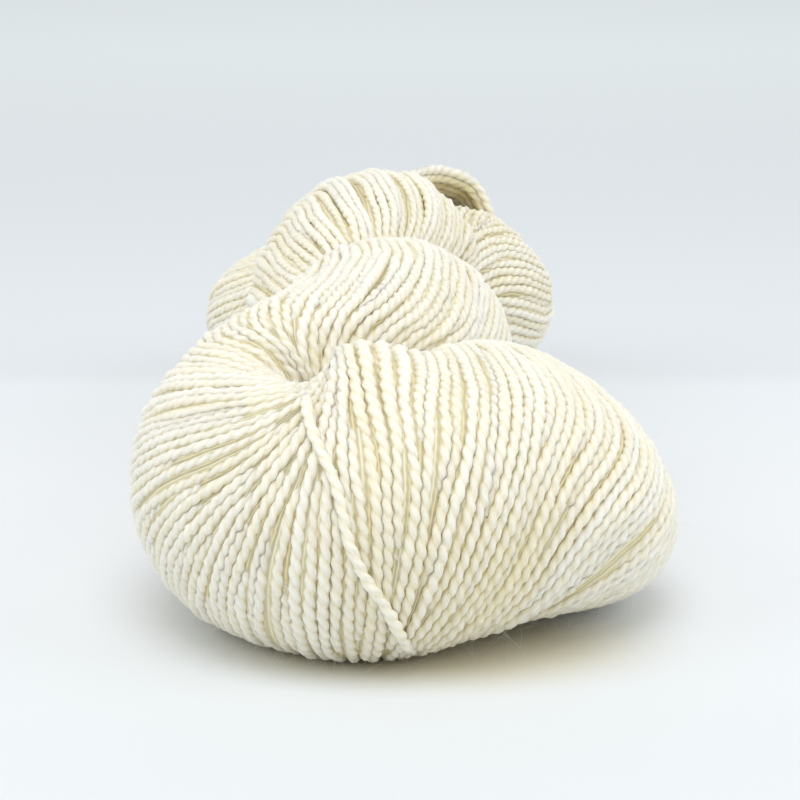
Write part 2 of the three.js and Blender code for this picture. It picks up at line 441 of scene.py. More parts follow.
    def normal(self, arc: np.ndarray, angle: np.ndarray) -> np.ndarray:
        """Outward unit normals: the cross product of differences along the arc and the angle.

        Args:
            arc: distances along the centre line.
            angle: angles round the section, of the same shape.

        Returns:
            The normals, with one more axis.
        """
        turn, move = self.angle_step, self.arc_step
        round_it = self.point(arc, angle + turn) - self.point(arc, angle - turn)
        along = self.point(arc + move, angle) - self.point(arc - move, angle)
        normal = unit_rows(np.cross(along, round_it))
        away = self.point(arc, angle) - self.station(arc)[..., CENTRE] - TO_MIDDLE
        return normal * np.where(dot_rows(normal, away) < 0, -1, 1)

    def lean(self, arc: np.ndarray, angle: np.ndarray) -> np.ndarray:
        """How far a yarn moves along the strand for each radian round it.

        It is a smooth step from the lean of the lower side to that of the top, and at each veer
        a bell exp(-x^2) of further lean.

        Args:
            arc: distances along the centre line.
            angle: angles round the section, one or of the same shape.

        Returns:
            The leans, in millimetres for each radian.
        """
        s = self.station(arc)
        top = smooth_step(angle, math.radians(self.top_from), math.radians(self.top_until))
        lean = s[..., LEAN] * (1 - top) + s[..., LEAN_TOP] * top
        for veer in VEERS:
            away = (np.mod(arc, self.total) - veer.arc) / veer.over
            part = smooth_step(angle, math.radians(veer.low), math.radians(veer.high))
            lean = lean + veer.more * np.exp(-away ** 2) * part
        return lean

    def follow(self, starts: np.ndarray, angles: np.ndarray) -> np.ndarray:
        """Arcs of yarns round the section, by midpoint steps of d arc / d angle = lean.

        Args:
            starts: arc of each yarn at the middle angle, which is 0.
            angles: rising angles.

        Returns:
            One row of arcs for each yarn.
        """
        arcs = np.zeros((len(starts), len(angles)))
        middle = len(angles) // 2
        arcs[:, middle] = starts
        for way, steps in ((1, range(middle, len(angles) - 1)), (-1, range(middle, 0, -1))):
            for k in steps:
                step = angles[k + way] - angles[k]
                half = arcs[:, k] + step / 2 * self.lean(arcs[:, k], angles[k])
                arcs[:, k + way] = arcs[:, k] + step * self.lean(half, angles[k] + step / 2)
        return arcs

    def buried(self, points: np.ndarray, arc: np.ndarray) -> np.ndarray:
        """How deep points lie inside other stretches of the strand.

        A point is tested against the ellipse of every coarse section whose slab holds it, apart
        from the sections of its own stretch. There its depth is (1 - r) times the smaller half
        size, with r its distance from the centre in half sizes.

        Args:
            points: points of any shape, with a last axis of 3.
            arc: the arc that each belongs to.

        Returns:
            Depths in millimetres, below 0 outside.
        """
        every = max(1, int(self.stations / self.total * self.coarse))
        s = self.table[::every]
        tangent = self.tangent[::every]
        arcs = np.arange(0, self.stations, every) * self.total / self.stations
        flat, own = (points - TO_MIDDLE).reshape(-1, 3), arc.reshape(-1)
        depth = np.full(len(flat), OUTSIDE)
        for start in range(0, len(flat), self.block):
            part = slice(start, start + self.block)
            away = flat[part, None] - s[None, :, CENTRE]
            along = np.abs((away * tangent).sum(-1))
            x, y = (away * s[:, OUT]).sum(-1), (away * s[:, UP]).sum(-1)
            rx = np.where(x > 0, s[:, HALF_OUT], s[:, HALF_IN])
            ry = np.where(y > 0, s[:, HALF_UP], s[:, HALF_DOWN])
            inner = (1 - np.sqrt((x / rx) ** 2 + (y / ry) ** 2)) * np.minimum(rx, ry)
            gap = np.abs(own[part, None] - arcs)
            gap = np.minimum(gap, self.total - gap)
            inner = np.where((along < self.slab) & (gap > self.own_stretch), inner, OUTSIDE)
            depth[part] = inner.max(1)
        return depth.reshape(arc.shape)


# Meshes

def quad_rings(rings: int, sides: int) -> np.ndarray:
    """Quads of an open tube: corners j and j + 1 of ring k, then those of ring k + 1.

    They face outwards when the points of a ring run anticlockwise about the way along.

    Args:
        rings: number of rings.
        sides: points in each.

    Returns:
        Four indices for each face.
    """
    k, j = np.meshgrid(np.arange(rings - 1), np.arange(sides), indexing="ij")
    a, b = k * sides + j, k * sides + (j + 1) % sides
    return np.stack([a, b, b + sides, a + sides], -1).reshape(-1, 4)


def halved(quads: np.ndarray) -> np.ndarray:
    """Two triangles for each quad, all the first ones before the others."""
    return np.concatenate([quads[:, [0, 1, 2]], quads[:, [0, 2, 3]]])


def make_mesh(name: str, points: np.ndarray, faces: np.ndarray,
              attributes: dict[str, np.ndarray]) -> bpy.types.Object:
    """Object of one mesh at the origin, smooth shaded.

    Args:
        name: name of the object.
        points: points in millimetres.
        faces: indices, all of three or all of four corners.
        attributes: values for each point, numbers or vectors.

    Returns:
        The linked object.
    """
    mesh = bpy.data.meshes.new(name)
    corners = faces.shape[1]
    mesh.vertices.add(len(points))
    mesh.vertices.foreach_set("co", (points * MM).astype(np.float32).ravel())
    mesh.loops.add(faces.size)
    mesh.loops.foreach_set("vertex_index", faces.astype(np.int32).ravel())
    mesh.polygons.add(len(faces))
    mesh.polygons.foreach_set("loop_start", np.arange(0, faces.size, corners, dtype=np.int32))
    mesh.polygons.foreach_set("use_smooth", np.ones(len(faces), bool))
    for key, values in attributes.items():
        kind, slot = ("FLOAT", "value") if values.ndim == 1 else ("FLOAT_VECTOR", "vector")
        layer = mesh.attributes.new(key, kind, "POINT")
        layer.data.foreach_set(slot, values.astype(np.float32).ravel())
    mesh.update(calc_edges=True)
    mesh.validate()
    thing = bpy.data.objects.new(name, mesh)
    bpy.context.scene.collection.objects.link(thing)
    return thing


@dataclass
class Batch:
    """Points, faces and attributes of many tubes that become one mesh."""

    points: list[np.ndarray] = field(default_factory=list)
    faces: list[np.ndarray] = field(default_factory=list)
    layers: dict[str, list[np.ndarray]] = field(default_factory=dict)
    count: int = 0

    def add(self, points: np.ndarray, faces: np.ndarray, **layers: np.ndarray) -> None:
        """Adds a tube.

        Args:
            points: its points in millimetres.
            faces: its faces, counted from its own first point.
            layers: values for each point, by the name of the attribute.
        """
        self.points.append(points)
        self.faces.append(faces + self.count)
        self.count += len(points)
        for key, values in layers.items():
            self.layers.setdefault(key, []).append(values)

    def triangles(self) -> int:
        """Number of triangles so far: a face of n corners is n - 2 of them."""
        return sum(len(f) * (f.shape[1] - 2) for f in self.faces)

    def build(self, name: str) -> bpy.types.Object:
        """Joins the tubes.

        Args:
            name: name of the object.

        Returns:
            The object of one mesh.
        """
        layers = {key: np.concatenate(values) for key, values in self.layers.items()}
        return make_mesh(name, np.concatenate(self.points), np.concatenate(self.faces), layers)


CAP = np.array([[3, 2, 1, 0], [0, 7, 4, 3], [7, 6, 5, 4]])  # closes a ring of eight points
SEEDS_PER_RADIAN = 1_000_000


@dataclass(frozen=True)
class PlyYarn:
    """Two plies wound round each other, left-handed, as a tube with a two-lobed section."""

    crest: float = 1.22  # from the middle to the back of a ply
    shoulder: float = 1.1
    waist: float = 0.88  # from the middle to the groove between the plies
    turn: float = 5.3  # length of one full turn of the plies
    slub: float = 0.075  # how much thicker and thinner the spun yarn runs
    slub_rings: int = 9  # over which it changes
    slub_even: float = 2.2  # brings the smoothed draws back to a spread of about 1
    slub_most: float = 2.0
    rough: float = 0.045  # unevenness of its surface
    blunt: float = 0.55  # thickness of its ends, against the rest
    taper: float = 1.2  # length over which an end thins to that
    groove_hollow: float = 0.36  # painted shade in the groove between the plies
    flank_hollow: float = 0.42  # and on the sides that face the neighbours
    flank: tuple[float, float] = (0.25, 0.85)  # cosines to the surface normal where it fades
    streaks_on: float = 37.0  # moves the streaks along, from yarn to yarn
    least_rings: int = 3  # of a length that is laid at all
    floor_gap: float = 0.04
    plain_step: float = 0.8  # between the rings of a yarn away from the front
    plain_tint: float = 0.6  # most tint of such a yarn

    def section(self) -> tuple[np.ndarray, np.ndarray]:
        """Angles and radii of the eight points of the section."""
        angles = np.arange(8) * np.pi / 4
        return angles, np.array([self.crest, self.shoulder, self.waist, self.shoulder] * 2)

    def thickness(self, s: np.ndarray, size: np.ndarray, rng: np.random.Generator) -> np.ndarray:
        """Thickness of the rings: the size, times random draws under a raised cosine for the
        slubs, and less within the taper of both ends.

        Args:
            s: length at each ring, which rises.
            size: size there.
            rng: source of the draws.

        Returns:
            One value for each ring.
        """
        ends = np.minimum(s, s[-1] - s) / self.taper
        ends = np.minimum(1, self.blunt + (1 - self.blunt) * ends)
        weights = np.hanning(self.slub_rings + 2)[1:-1] / self.slub_even
        uneven = np.convolve(rng.normal(size=len(s) + self.slub_rings - 1), weights, "valid")
        return ends * size * (1 + self.slub * np.clip(uneven, -self.slub_most, self.slub_most))

    def lay(self, batch: Batch, path: np.ndarray, normals: np.ndarray, deep: np.ndarray,
            size: np.ndarray, step: float, phase: float, tint: float) -> None:
        """Lays one length of yarn along a path.

        Ring k stands square to the path at the length s = k step. Its points are at
        r_j (N cos(a_j - 2 pi s / turn) + B sin(a_j - 2 pi s / turn)), so the columns of points
        run along the plies.

        Args:
            batch: receives the tube.
            path: points of the middle of the yarn.
            normals: surface normals at those points.
            deep: painted shade at those points, 0 to 1.
            size: thickness there, against the full size.
            step: distance between rings.
            phase: turn of the first ring, which also seeds the yarn's own draws.
            tint: the yarn's own shade, -1 to 1.
        """
        reached = np.concatenate([[0], np.cumsum(np.linalg.norm(np.diff(path, axis=0), axis=1))])
        if reached[-1] < self.least_rings * step:
            return
        rings = int(reached[-1] / step) + 2
        s = np.linspace(0, reached[-1], rings)
        c = np.stack([np.interp(s, reached, path[:, k]) for k in range(3)], 1)
        n = np.stack([np.interp(s, reached, normals[:, k]) for k in range(3)], 1)
        t = unit_rows(np.gradient(c, axis=0))
        n = unit_rows(n - dot_rows(n, t) * t)
        b = np.cross(t, n)
        angles, radii = self.section()
        turned = angles[None] - 2 * np.pi * s[:, None] / self.turn + phase
        rng = np.random.default_rng(int(phase * SEEDS_PER_RADIAN))
        thick = self.thickness(s, np.interp(s, reached, size), rng)
        r = radii[None] * thick[:, None] * (1 + self.rough * rng.normal(size=(rings, 8)))
        r = r[..., None]
        cos, sin = np.cos(turned)[..., None], np.sin(turned)[..., None]
        points = c[:, None] + r * (cos * n[:, None] + sin * b[:, None])
        points[..., 2] = np.maximum(points[..., 2], self.floor_gap)
        last = (rings - 1) * 8
        faces = np.concatenate([quad_rings(rings, 8), CAP, last + CAP[:, ::-1]])
        # painted shade: darker, warmer in the groove between the plies, on the sides that face the
        # neighbours, and by the shade given for the place
        groove = (self.crest - radii) / (self.crest - self.waist)
        flank = self.flank_hollow * (1 - smooth_step(np.cos(turned), *self.flank))
        deep = np.interp(s, reached, deep)
        hollow = np.clip(self.groove_hollow * groove[None] + flank + deep[:, None], 0, 1)
        along = np.repeat(s[:, None] + self.streaks_on * phase, 8, 1)
        slow = turned + np.pi * s[:, None] / self.turn
        fibre = np.stack([np.cos(slow) * self.crest, np.sin(slow) * self.crest, along], -1)
        ply = np.broadcast_to(np.cos(angles)[None], (rings, 8))
        batch.add(points.reshape(-1, 3), faces, hollow=hollow.ravel(), ply=ply.ravel(),
                  tint=np.full(rings * 8, tint), fibre=fibre.reshape(-1, 3))

    def lay_plain(self, batch: Batch, path: np.ndarray, normals: np.ndarray, hollow: float,
                  rng: np.random.Generator) -> None:
        """Lays a yarn of full size with the same painted shade all along.

        Args:
            batch: receives the tube.
            path: points of the middle of the yarn.
            normals: surface normals at those points.
            hollow: its painted shade.
            rng: source of its phase and its tint.
        """
        count, most = len(path), self.plain_tint
        self.lay(batch, path, normals, np.full(count, hollow), np.ones(count), self.plain_step,
                 rng.uniform(0, FULL_TURN), rng.uniform(-most, most))


# Colours and finishes

def linear(hex_colour: str) -> tuple[float, float, float, float]:
    """Linear colour of an sRGB value: each channel c becomes ((c + 0.055) / 1.055)^2.4, or
    c / 12.92 when it is small.

    Args:
        hex_colour: the colour, as # and six hex digits.

    Returns:
        Red, green and blue from 0 to 1, and an alpha of 1.
    """
    channels = [int(hex_colour[i:i + 2], 16) / 255 for i in (1, 3, 5)]
    light = [c / 12.92 if c <= 0.04045 else ((c + 0.055) / 1.055) ** 2.4 for c in channels]
    return (*light, 1.0)


def add_node(tree: bpy.types.NodeTree, kind: str, settings: dict | None = None,
             inputs: dict | None = None) -> bpy.types.Node:
    """Adds a node with its settings and inputs.

    Args:
        tree: the node tree.
        kind: type of the node.
        settings: properties of the node.
        inputs: values, or output sockets to link, by input name or index.

    Returns:
        The node.
    """
    node = tree.nodes.new(kind)
    for key, value in (settings or {}).items():
        setattr(node, key, value)
    for key, value in (inputs or {}).items():
        if isinstance(value, bpy.types.NodeSocket):
            tree.links.new(value, node.inputs[key])
        else:
            node.inputs[key].default_value = value
    return node


def new_material(name: str) -> tuple[bpy.types.Material, bpy.types.NodeTree]:
    """Makes an empty node material.

    Args:
        name: its name.

    Returns:
        The material and its tree.
    """
    material = bpy.data.materials.new(name)
    material.use_nodes = True
    material.node_tree.nodes.clear()
    return material, material.node_tree


@dataclass(frozen=True)
class WoolFinish:
    """Undyed worsted-spun wool: matt, soft cream fibres that let some light through, with a
    faint sheen. Painted shade makes it warmer and darker between the plies and the turns."""

    name: str = "worsted_wool"
    light: str = "#FCFAF0"  # of the lightest yarns
    body: str = "#F6F0DC"  # of the creamiest
    # colour of the painted shade: a darker, warmer cream
    hollow: str = "#EEE1B4"
    hollow_power: float = 1.4  # how late the painted shade tone sets in
    # A wool fibre is about 0.03 mm thick, too fine to show, so the streaks are drawn coarser.
    fibres_around: float = 4.0  # streaks for each millimetre round the yarn
    fibres_along: float = 0.7  # streaks for each millimetre along it
    streak_detail: float = 3.0
    streak_rough: float = 0.6
    streak_range: tuple[float, float] = (0.3, 0.7)  # of the noise that is used
    streak_tone: tuple[float, float] = (0.90, 1.04)  # brightness of the streaks
    fibre_height: float = 0.00028  # of the finest relief, in metres
    groove_height: float = 0.00009  # of the back of a ply over its groove, in metres
    groove_width: float = 0.55  # share of a ply's half width that falls to its groove
    relief: float = 0.7
    roughness: float = 0.92
    ior: float = 1.55  # of keratin
    specular: float = 0.2
    sheen: float = 0.1
    sheen_roughness: float = 0.5
    light_through: float = 0.75  # share of the light that travels in the fibres
    light_depth: float = 0.0019  # how far it travels, in metres
    light_reach: tuple[float, float, float] = (0.76, 0.86, 1.0)  # share of that by colour

    def make(self) -> bpy.types.Material:
        """Builds the material from the attributes of painted shade, tint, ply and fibre.

        The tint mixes body and light, and the painted shade to its power mixes that with the
        darker, warmer shade colour.
        Noise stretched along the fibres streaks it. The relief is the same noise, plus a smooth
        step from the groove to the back of each ply.

        Returns:
            The material.
        """
        material, tree = new_material(self.name)
        hollow = add_node(tree, "ShaderNodeAttribute", {"attribute_name": "hollow"})
        tint = add_node(tree, "ShaderNodeAttribute", {"attribute_name": "tint"})
        ply = add_node(tree, "ShaderNodeAttribute", {"attribute_name": "ply"})
        fibre = add_node(tree, "ShaderNodeAttribute", {"attribute_name": "fibre"})
        stretched = add_node(tree, "ShaderNodeVectorMath", {"operation": "MULTIPLY"},
                             {0: fibre.outputs["Vector"],
                              1: (self.fibres_around, self.fibres_around, self.fibres_along)})
        streaks = add_node(tree, "ShaderNodeTexNoise", {},
                           {"Vector": stretched.outputs[0], "Scale": 1.0,
                            "Detail": self.streak_detail, "Roughness": self.streak_rough})
        shade = add_node(tree, "ShaderNodeMapRange", {},
                         {"Value": tint.outputs["Fac"], "From Min": -1.0, "From Max": 1.0,
                          "To Min": 0.0, "To Max": 1.0})
        own = add_node(tree, "ShaderNodeMix", {"data_type": "RGBA"},
                       {0: shade.outputs[0], 6: linear(self.body), 7: linear(self.light)})
        depth = add_node(tree, "ShaderNodeMath", {"operation": "POWER", "use_clamp": True},
                         {0: hollow.outputs["Fac"], 1: self.hollow_power})
        # painted shade: the yarn's own colour mixed towards the shade colour
        deep = add_node(tree, "ShaderNodeMix", {"data_type": "RGBA"},
                        {0: depth.outputs[0], 6: own.outputs[2], 7: linear(self.hollow)})
        streak = add_node(tree, "ShaderNodeMapRange", {},
                          {"Value": streaks.outputs["Fac"], "From Min": self.streak_range[0],
                           "From Max": self.streak_range[1], "To Min": self.streak_tone[0],
                           "To Max": self.streak_tone[1]})
        streaked = add_node(tree, "ShaderNodeVectorMath", {"operation": "SCALE"},
                            {0: deep.outputs[2], "Scale": streak.outputs[0]})
        side = add_node(tree, "ShaderNodeMath", {"operation": "ABSOLUTE"},
                        {0: ply.outputs["Fac"]})
        back = add_node(tree, "ShaderNodeMapRange", {"interpolation_type": "SMOOTHSTEP"},
                        {"Value": side.outputs[0], "From Min": 0.0,
                         "From Max": self.groove_width, "To Min": 0.0,
                         "To Max": self.groove_height / self.fibre_height})
        height = add_node(tree, "ShaderNodeMath", {"operation": "ADD"},
                          {0: back.outputs[0], 1: streaks.outputs["Fac"]})
        bump = add_node(tree, "ShaderNodeBump", {},
                        {"Height": height.outputs[0], "Strength": self.relief,
                         "Distance": self.fibre_height})
        wool = add_node(tree, "ShaderNodeBsdfPrincipled", {},
                        {"Base Color": streaked.outputs[0], "Roughness": self.roughness,
                         "IOR": self.ior, "Specular IOR Level": self.specular,
                         "Sheen Weight": self.sheen, "Sheen Roughness": self.sheen_roughness,
                         "Subsurface Weight": self.light_through,
                         "Subsurface Radius": self.light_reach,
                         "Subsurface Scale": self.light_depth, "Normal": bump.outputs[0]})
        add_node(tree, "ShaderNodeOutputMaterial", {}, {"Surface": wool.outputs[0]})
        return material


@dataclass(frozen=True)
class UnderTurnsFinish:
    """The same worsted-spun wool, of the turns under the outer ones: deeper cream, because
    little light gets there, with a rib for each turn and the twist of the plies along it."""

    name: str = "wool_under_turns"
    crest: str = "#F2EACC"
    # painted shade in the grooves between the turns
    groove: str = "#E6DAAE"
    ply_length: float = 2.2  # of one ply along the rib
    ply_share: float = 0.15  # height of a ply against the rib
    tone_range: tuple[float, float] = (-1.2, 1.0)  # heights of the groove and crest tones
    rib_height: float = 0.0005  # in metres
    relief: float = 0.8
    roughness: float = 0.95
    ior: float = 1.55
    specular: float = 0.2

    def make(self) -> bpy.types.Material:
        """Builds the material from the attribute turns: the number of the turn and the length
        along it. The height is cos(2 pi turn) plus a share of
        sin(2 pi (turn + length / ply length)), and it sets the relief and the tone, painted darker
        in the grooves between the turns as painted shade.

        Returns:
            The material.
        """
        material, tree = new_material(self.name)
        turns = add_node(tree, "ShaderNodeAttribute", {"attribute_name": "turns"})
        split = add_node(tree, "ShaderNodeSeparateXYZ", {}, {0: turns.outputs["Vector"]})
        angle = add_node(tree, "ShaderNodeMath", {"operation": "MULTIPLY"},
                         {0: split.outputs[0], 1: 2 * math.pi})
        rib = add_node(tree, "ShaderNodeMath", {"operation": "COSINE"}, {0: angle.outputs[0]})
        ply_turn = add_node(tree, "ShaderNodeMath", {"operation": "MULTIPLY_ADD"},
                            {0: split.outputs[1], 1: 2 * math.pi / self.ply_length,
                             2: angle.outputs[0]})
        ply = add_node(tree, "ShaderNodeMath", {"operation": "SINE"}, {0: ply_turn.outputs[0]})
        height = add_node(tree, "ShaderNodeMath", {"operation": "MULTIPLY_ADD"},
                          {0: ply.outputs[0], 1: self.ply_share, 2: rib.outputs[0]})
        mix = add_node(tree, "ShaderNodeMapRange", {},
                       {"Value": height.outputs[0], "From Min": self.tone_range[0],
                        "From Max": self.tone_range[1], "To Min": 0.0, "To Max": 1.0})
        colour = add_node(tree, "ShaderNodeMix", {"data_type": "RGBA"},
                          {0: mix.outputs[0], 6: linear(self.groove), 7: linear(self.crest)})
        bump = add_node(tree, "ShaderNodeBump", {},
                        {"Height": height.outputs[0], "Strength": self.relief,
                         "Distance": self.rib_height})
        wool = add_node(tree, "ShaderNodeBsdfPrincipled", {},
                        {"Base Color": colour.outputs[2], "Roughness": self.roughness,
                         "IOR": self.ior, "Specular IOR Level": self.specular,
                         "Normal": bump.outputs[0]})
        add_node(tree, "ShaderNodeOutputMaterial", {}, {"Surface": wool.outputs[0]})
        return material


# The wound yarn

@dataclass(frozen=True)
class Unevenness:
    """Noise over the turns: its amount and seed, its cells for each turn and for each radian
    along one, how far along it is moved on for each turn, and where it starts."""

    amount: float
    seed: int
    per_turn: float
    per_radian: float
    on_by: float = 0.0
    turn_start: float = 0.0
    along_start: float = 0.0

    def at(self, index: np.ndarray, angle: np.ndarray) -> np.ndarray:
        """Noise at turns and angles, as the amount times smooth noise.

        Args:
            index: numbers of the turns, as a column.
            angle: angles along them, as a row.

        Returns:
            One row for each turn.
        """
        along = angle * self.per_radian + index * self.on_by + self.along_start
        return self.amount * SmoothNoise(self.seed).at(index * self.per_turn + self.turn_start,
                                                       along)


CROWDING = Unevenness(0.05, 19, 0.37, 2.0)  # moves the place where a crowded turn sinks
SIDEWAYS = (  # moves turns sideways, in turns: locks, a few yarns together, and single yarns
    Unevenness(0.20, 7, 0.19, 0.8),
    Unevenness(0.14, 9, 0.47, 1.5, turn_start=3),
    Unevenness(0.13, 21, 7.31, 2.6, on_by=3.3),
)
HEIGHTS = (  # lifts and sinks turns, in mm, in the same three widths
    Unevenness(0.20, 3, 0.11, 1.1, along_start=9),
    Unevenness(0.22, 5, 0.31, 1.4, along_start=4),
    Unevenness(0.30, 13, 5.77, 2.2, on_by=3.1),
)
WIGGLE = Unevenness(0.2, 17, 5.3, 6.0, on_by=2.7)  # small sideways bends of single yarns, in mm


@dataclass(frozen=True)
class Parting:
    """A lens-shaped gap between two turns: the arc where they start, the degrees round the
    section that it runs over and its width in mm."""

    arc: float
    low: float
    high: float
    wide: float = 0.6


PARTINGS = (
    Parting(102.8, 20, 105, 0.9), Parting(105.3, 25, 118, 1.4), Parting(110.0, -8, 112, 1.4),
    Parting(126.5, 60, 105, 0.8), Parting(151.2, 60, 106, 1.4), Parting(158.6, 40, 78, 1.5),
    Parting(168.2, 18, 50, 1.0), Parting(174.4, 12, 55, 1.9), Parting(183.2, -6, 46, 0.9),
    Parting(194.0, -58, 56, 1.2), Parting(201.3, 4, 66, 0.7), Parting(203.2, -6, 58, 0.9),
    Parting(204.7, 10, 72, 0.8), Parting(206.0, 8, 50, 0.7), Parting(207.4, -10, 36, 1.1),
    Parting(211.0, -14, 18, 1.0), Parting(215.8, 12, 54, 0.7), Parting(226.8, -42, 26, 3.3),
    Parting(371.5, -88, 12, 1.8), Parting(381.2, -95, 0, 1.6), Parting(390.5, -95, -8, 1.5),
)


@dataclass(frozen=True)
class RaisedLock:
    """A lock of turns that stands up: its arc, the degrees that it runs over, its height and
    its half width in turns."""

    arc: float
    low: float
    high: float
    high_by: float
    width: float


LOCKS = (
    RaisedLock(108.0, 6, 115, 1.3, 1.7), RaisedLock(222.5, -48, 40, 1.0, 2.4),
    RaisedLock(231.0, -50, 30, 0.5, 2.0),
    RaisedLock(365.5, -85, 20, 0.9, 2.2), RaisedLock(376.4, -90, 25, 1.6, 1.7),
    RaisedLock(386.0, -90, 12, 1.4, 1.8), RaisedLock(395.5, -95, 0, 1.1, 2.0),
)


RUN_POWER = 0.6  # below 1, so that a run opens soon and stays open


def run_of(place: Parting | RaisedLock, angle: np.ndarray) -> np.ndarray:
    """Strength along the run of a parting or lock: a half sine over it, to the run's power.

    Args:
        place: the parting or lock.
        angle: angles round the section.

    Returns:
        Values from 0 outside the run to 1 in its middle.
    """
    low, high = math.radians(place.low), math.radians(place.high)
    return np.sin(np.pi * np.clip((angle - low) / (high - low), 0, 1)) ** RUN_POWER


@dataclass
class WoundTurns:
    """Every turn of yarn that shows on the hank, over the strand form."""

    form: StrandForm
    yarn: PlyYarn = PlyYarn()
    spacing: float = 2.08  # between the middles of neighbours where the form is widest
    samples: int = 261  # places round each turn
    reach: float = 2.85  # largest angle of a turn
    arc_step: float = 1.0  # between the lines by which the width of the form is measured
    coarse: int = 4  # every how many places it is measured
    clear: float = 1.0  # depth in other stretches up to which the form still shows
    clear_angle: float = 2.4
    widest: float = 94.0  # percentile that counts as the width, past single bumps
    width_over: int = 9  # lines over which the width is smoothed
    gap_passes: int = 3  # and passes by which the gaps between turns are
    seed: int = 11
    least_room: float = 0.03
    rank_bits: int = 8  # of the order in which turns sink
    sinks_over: tuple[float, float] = (-0.10, 0.14)  # rank past the room where one sinks
    rank_scale: float = 1.04
    crowded_width: float = 0.1  # share of the room that a sunk turn still takes
    even_passes: int = 12
    least_even: float = 0.08
    most_spread: float = 3.0
    spread_over: int = 25  # places along a turn over which its spread is smoothed
    bends_over: int = 21  # and its path
    loose_turn: float = 0.10  # own sideways move of a turn, in turns
    loose_height: float = 0.14  # and its own height in mm
    free_room: tuple[float, float] = (0.1, 0.6)  # room over which sideways moves set in
    sunk: float = 1.0  # the middle of a yarn under the form's surface
    buried_by: float = 2.3  # how much deeper a crowded-out yarn lies
    fades: float = 2.0  # turns over which the sideways move at a parting fades
    floor_height: float = 0.92  # of the middle of a yarn that lies on the floor
    floor_soft: float = 0.35  # height over which it comes to lie
    crowd_hidden: float = 0.93  # crowding from which a yarn is left out
    hidden_from: float = 1.9  # depth in other stretches where a yarn is left out
    crowd_hollow: float = 0.45  # painted shade on crowded and lower places
    height_hollow: float = 0.35
    base_hollow: float = 0.08
    most_hollow: float = 0.7
    back_hollow: float = 0.17  # more painted shade on the turns at the back
    back_shade_from: tuple[float, float] = (-50.0, 40.0)
    front_hollow: float = 0.4  # and on those in the middle of the front
    front_shade_middle: tuple[float, float, float] = (11.0, 6.0, 17.0)  # as x, t, z
    front_shade_reach: tuple[float, float, float] = (20.0, 14.0, 16.0)
    tint_spread: float = 0.5
    size_spread: float = 0.05
    size_follows: float = 0.75  # how far a turn's thickness follows the room it has
    size_room: tuple[float, float] = (-0.15, 0.3)
    near_step: float = 0.5  # between rings where the photograph looks
    far_step: float = 0.8
    near_until: float = -18.0  # end of the finer rings along the hank
    low_until: float = 3.5  # height under which a turn isn't seen and has the coarser rings
    least_run: int = 6  # places of the shortest stretch that is laid
    past_run: int = 2  # places by which a stretch goes on under its neighbours
    most_triangles: int = 179000  # of a batch, before its last turn
    number: int = field(init=False)  # of turns
    angles: np.ndarray = field(init=False, repr=False)  # of the places round every turn
    marks: np.ndarray = field(init=False, repr=False)  # turns counted up to each mark
    mark_arcs: np.ndarray = field(init=False, repr=False)
    starts: np.ndarray = field(init=False, repr=False)  # arcs where the turns start
    paths: np.ndarray = field(init=False, repr=False)  # by turn and place, as the next three
    normals: np.ndarray = field(init=False, repr=False)
    hidden: np.ndarray = field(init=False, repr=False)
    hollow: np.ndarray = field(init=False, repr=False)
    sizes: np.ndarray = field(init=False, repr=False)
    tints: np.ndarray = field(init=False, repr=False)  # by turn, as the phases
    phases: np.ndarray = field(init=False, repr=False)

    def __post_init__(self) -> None:
        """Finds where each turn starts, and lays the turns. They lie a spacing apart where the
        form is widest: their number up to an arc is the sum of width / spacing."""
        form = self.form
        self.angles = np.linspace(-self.reach, self.reach, self.samples)
        arcs = np.arange(0, form.total, self.arc_step)
        sides = (-self.arc_step / 2, self.arc_step / 2)
        lines = [form.follow(arcs + side, self.angles)[:, ::self.coarse] for side in sides]
        angle = np.broadcast_to(self.angles[::self.coarse], lines[0].shape)
        low, high = form.point(lines[0], angle), form.point(lines[1], angle)
        middle = (low + high) / 2
        way = unit_rows(np.gradient(middle, axis=1))
        between = high - low - dot_rows(high - low, way) * way
        stretch = np.linalg.norm(between, axis=-1)
        shown = form.buried(middle, (lines[0] + lines[1]) / 2) < self.clear
        shown &= np.abs(angle) < self.clear_angle
        width = np.array([np.percentile(row[seen], self.widest) if seen.any() else row.max()
                          for row, seen in zip(stretch, shown)])
        width = np.convolve(np.tile(width, 3), raised_cosine(self.width_over), "same")
        width = width[len(arcs):2 * len(arcs)]
        count = np.concatenate([[0], np.cumsum(width / self.spacing)])
        self.number = int(round(count[-1]))
        self.marks = count * self.number / count[-1]
        self.mark_arcs = np.append(arcs, form.total)
        self.starts = np.interp(np.arange(self.number) + 0.5, self.marks, self.mark_arcs)
        self.lay_paths()

    def turn_number(self, arc: np.ndarray) -> np.ndarray:
        """Number of the turn that starts at an arc, with its part."""
        return np.interp(np.mod(arc, self.form.total), self.mark_arcs, self.marks)

    def gaps(self, points: np.ndarray) -> np.ndarray:
        """Distance between neighbouring turns: half that of the turns to either side, square to
        the turn, and evened out.

        Args:
            points: one row of points for each turn.

        Returns:
            Distances in millimetres, one row for each turn.
        """
        way = unit_rows(np.gradient(points, axis=1))
        side = np.roll(points, -1, 0) - np.roll(points, 1, 0)
        side = side - dot_rows(side, way) * way
        return self.evened(np.linalg.norm(side, axis=-1) / 2, self.gap_passes)

    @staticmethod
    def evened(values: np.ndarray, passes: int) -> np.ndarray:
        """Values evened out over the turns, by the mean of three neighbours.

        Args:
            values: one row for each turn.
            passes: how many times.

        Returns:
            Values of the same shape.
        """
        for _ in range(passes):
            values = (np.roll(values, 1, 0) + values + np.roll(values, -1, 0)) / 3
        return values

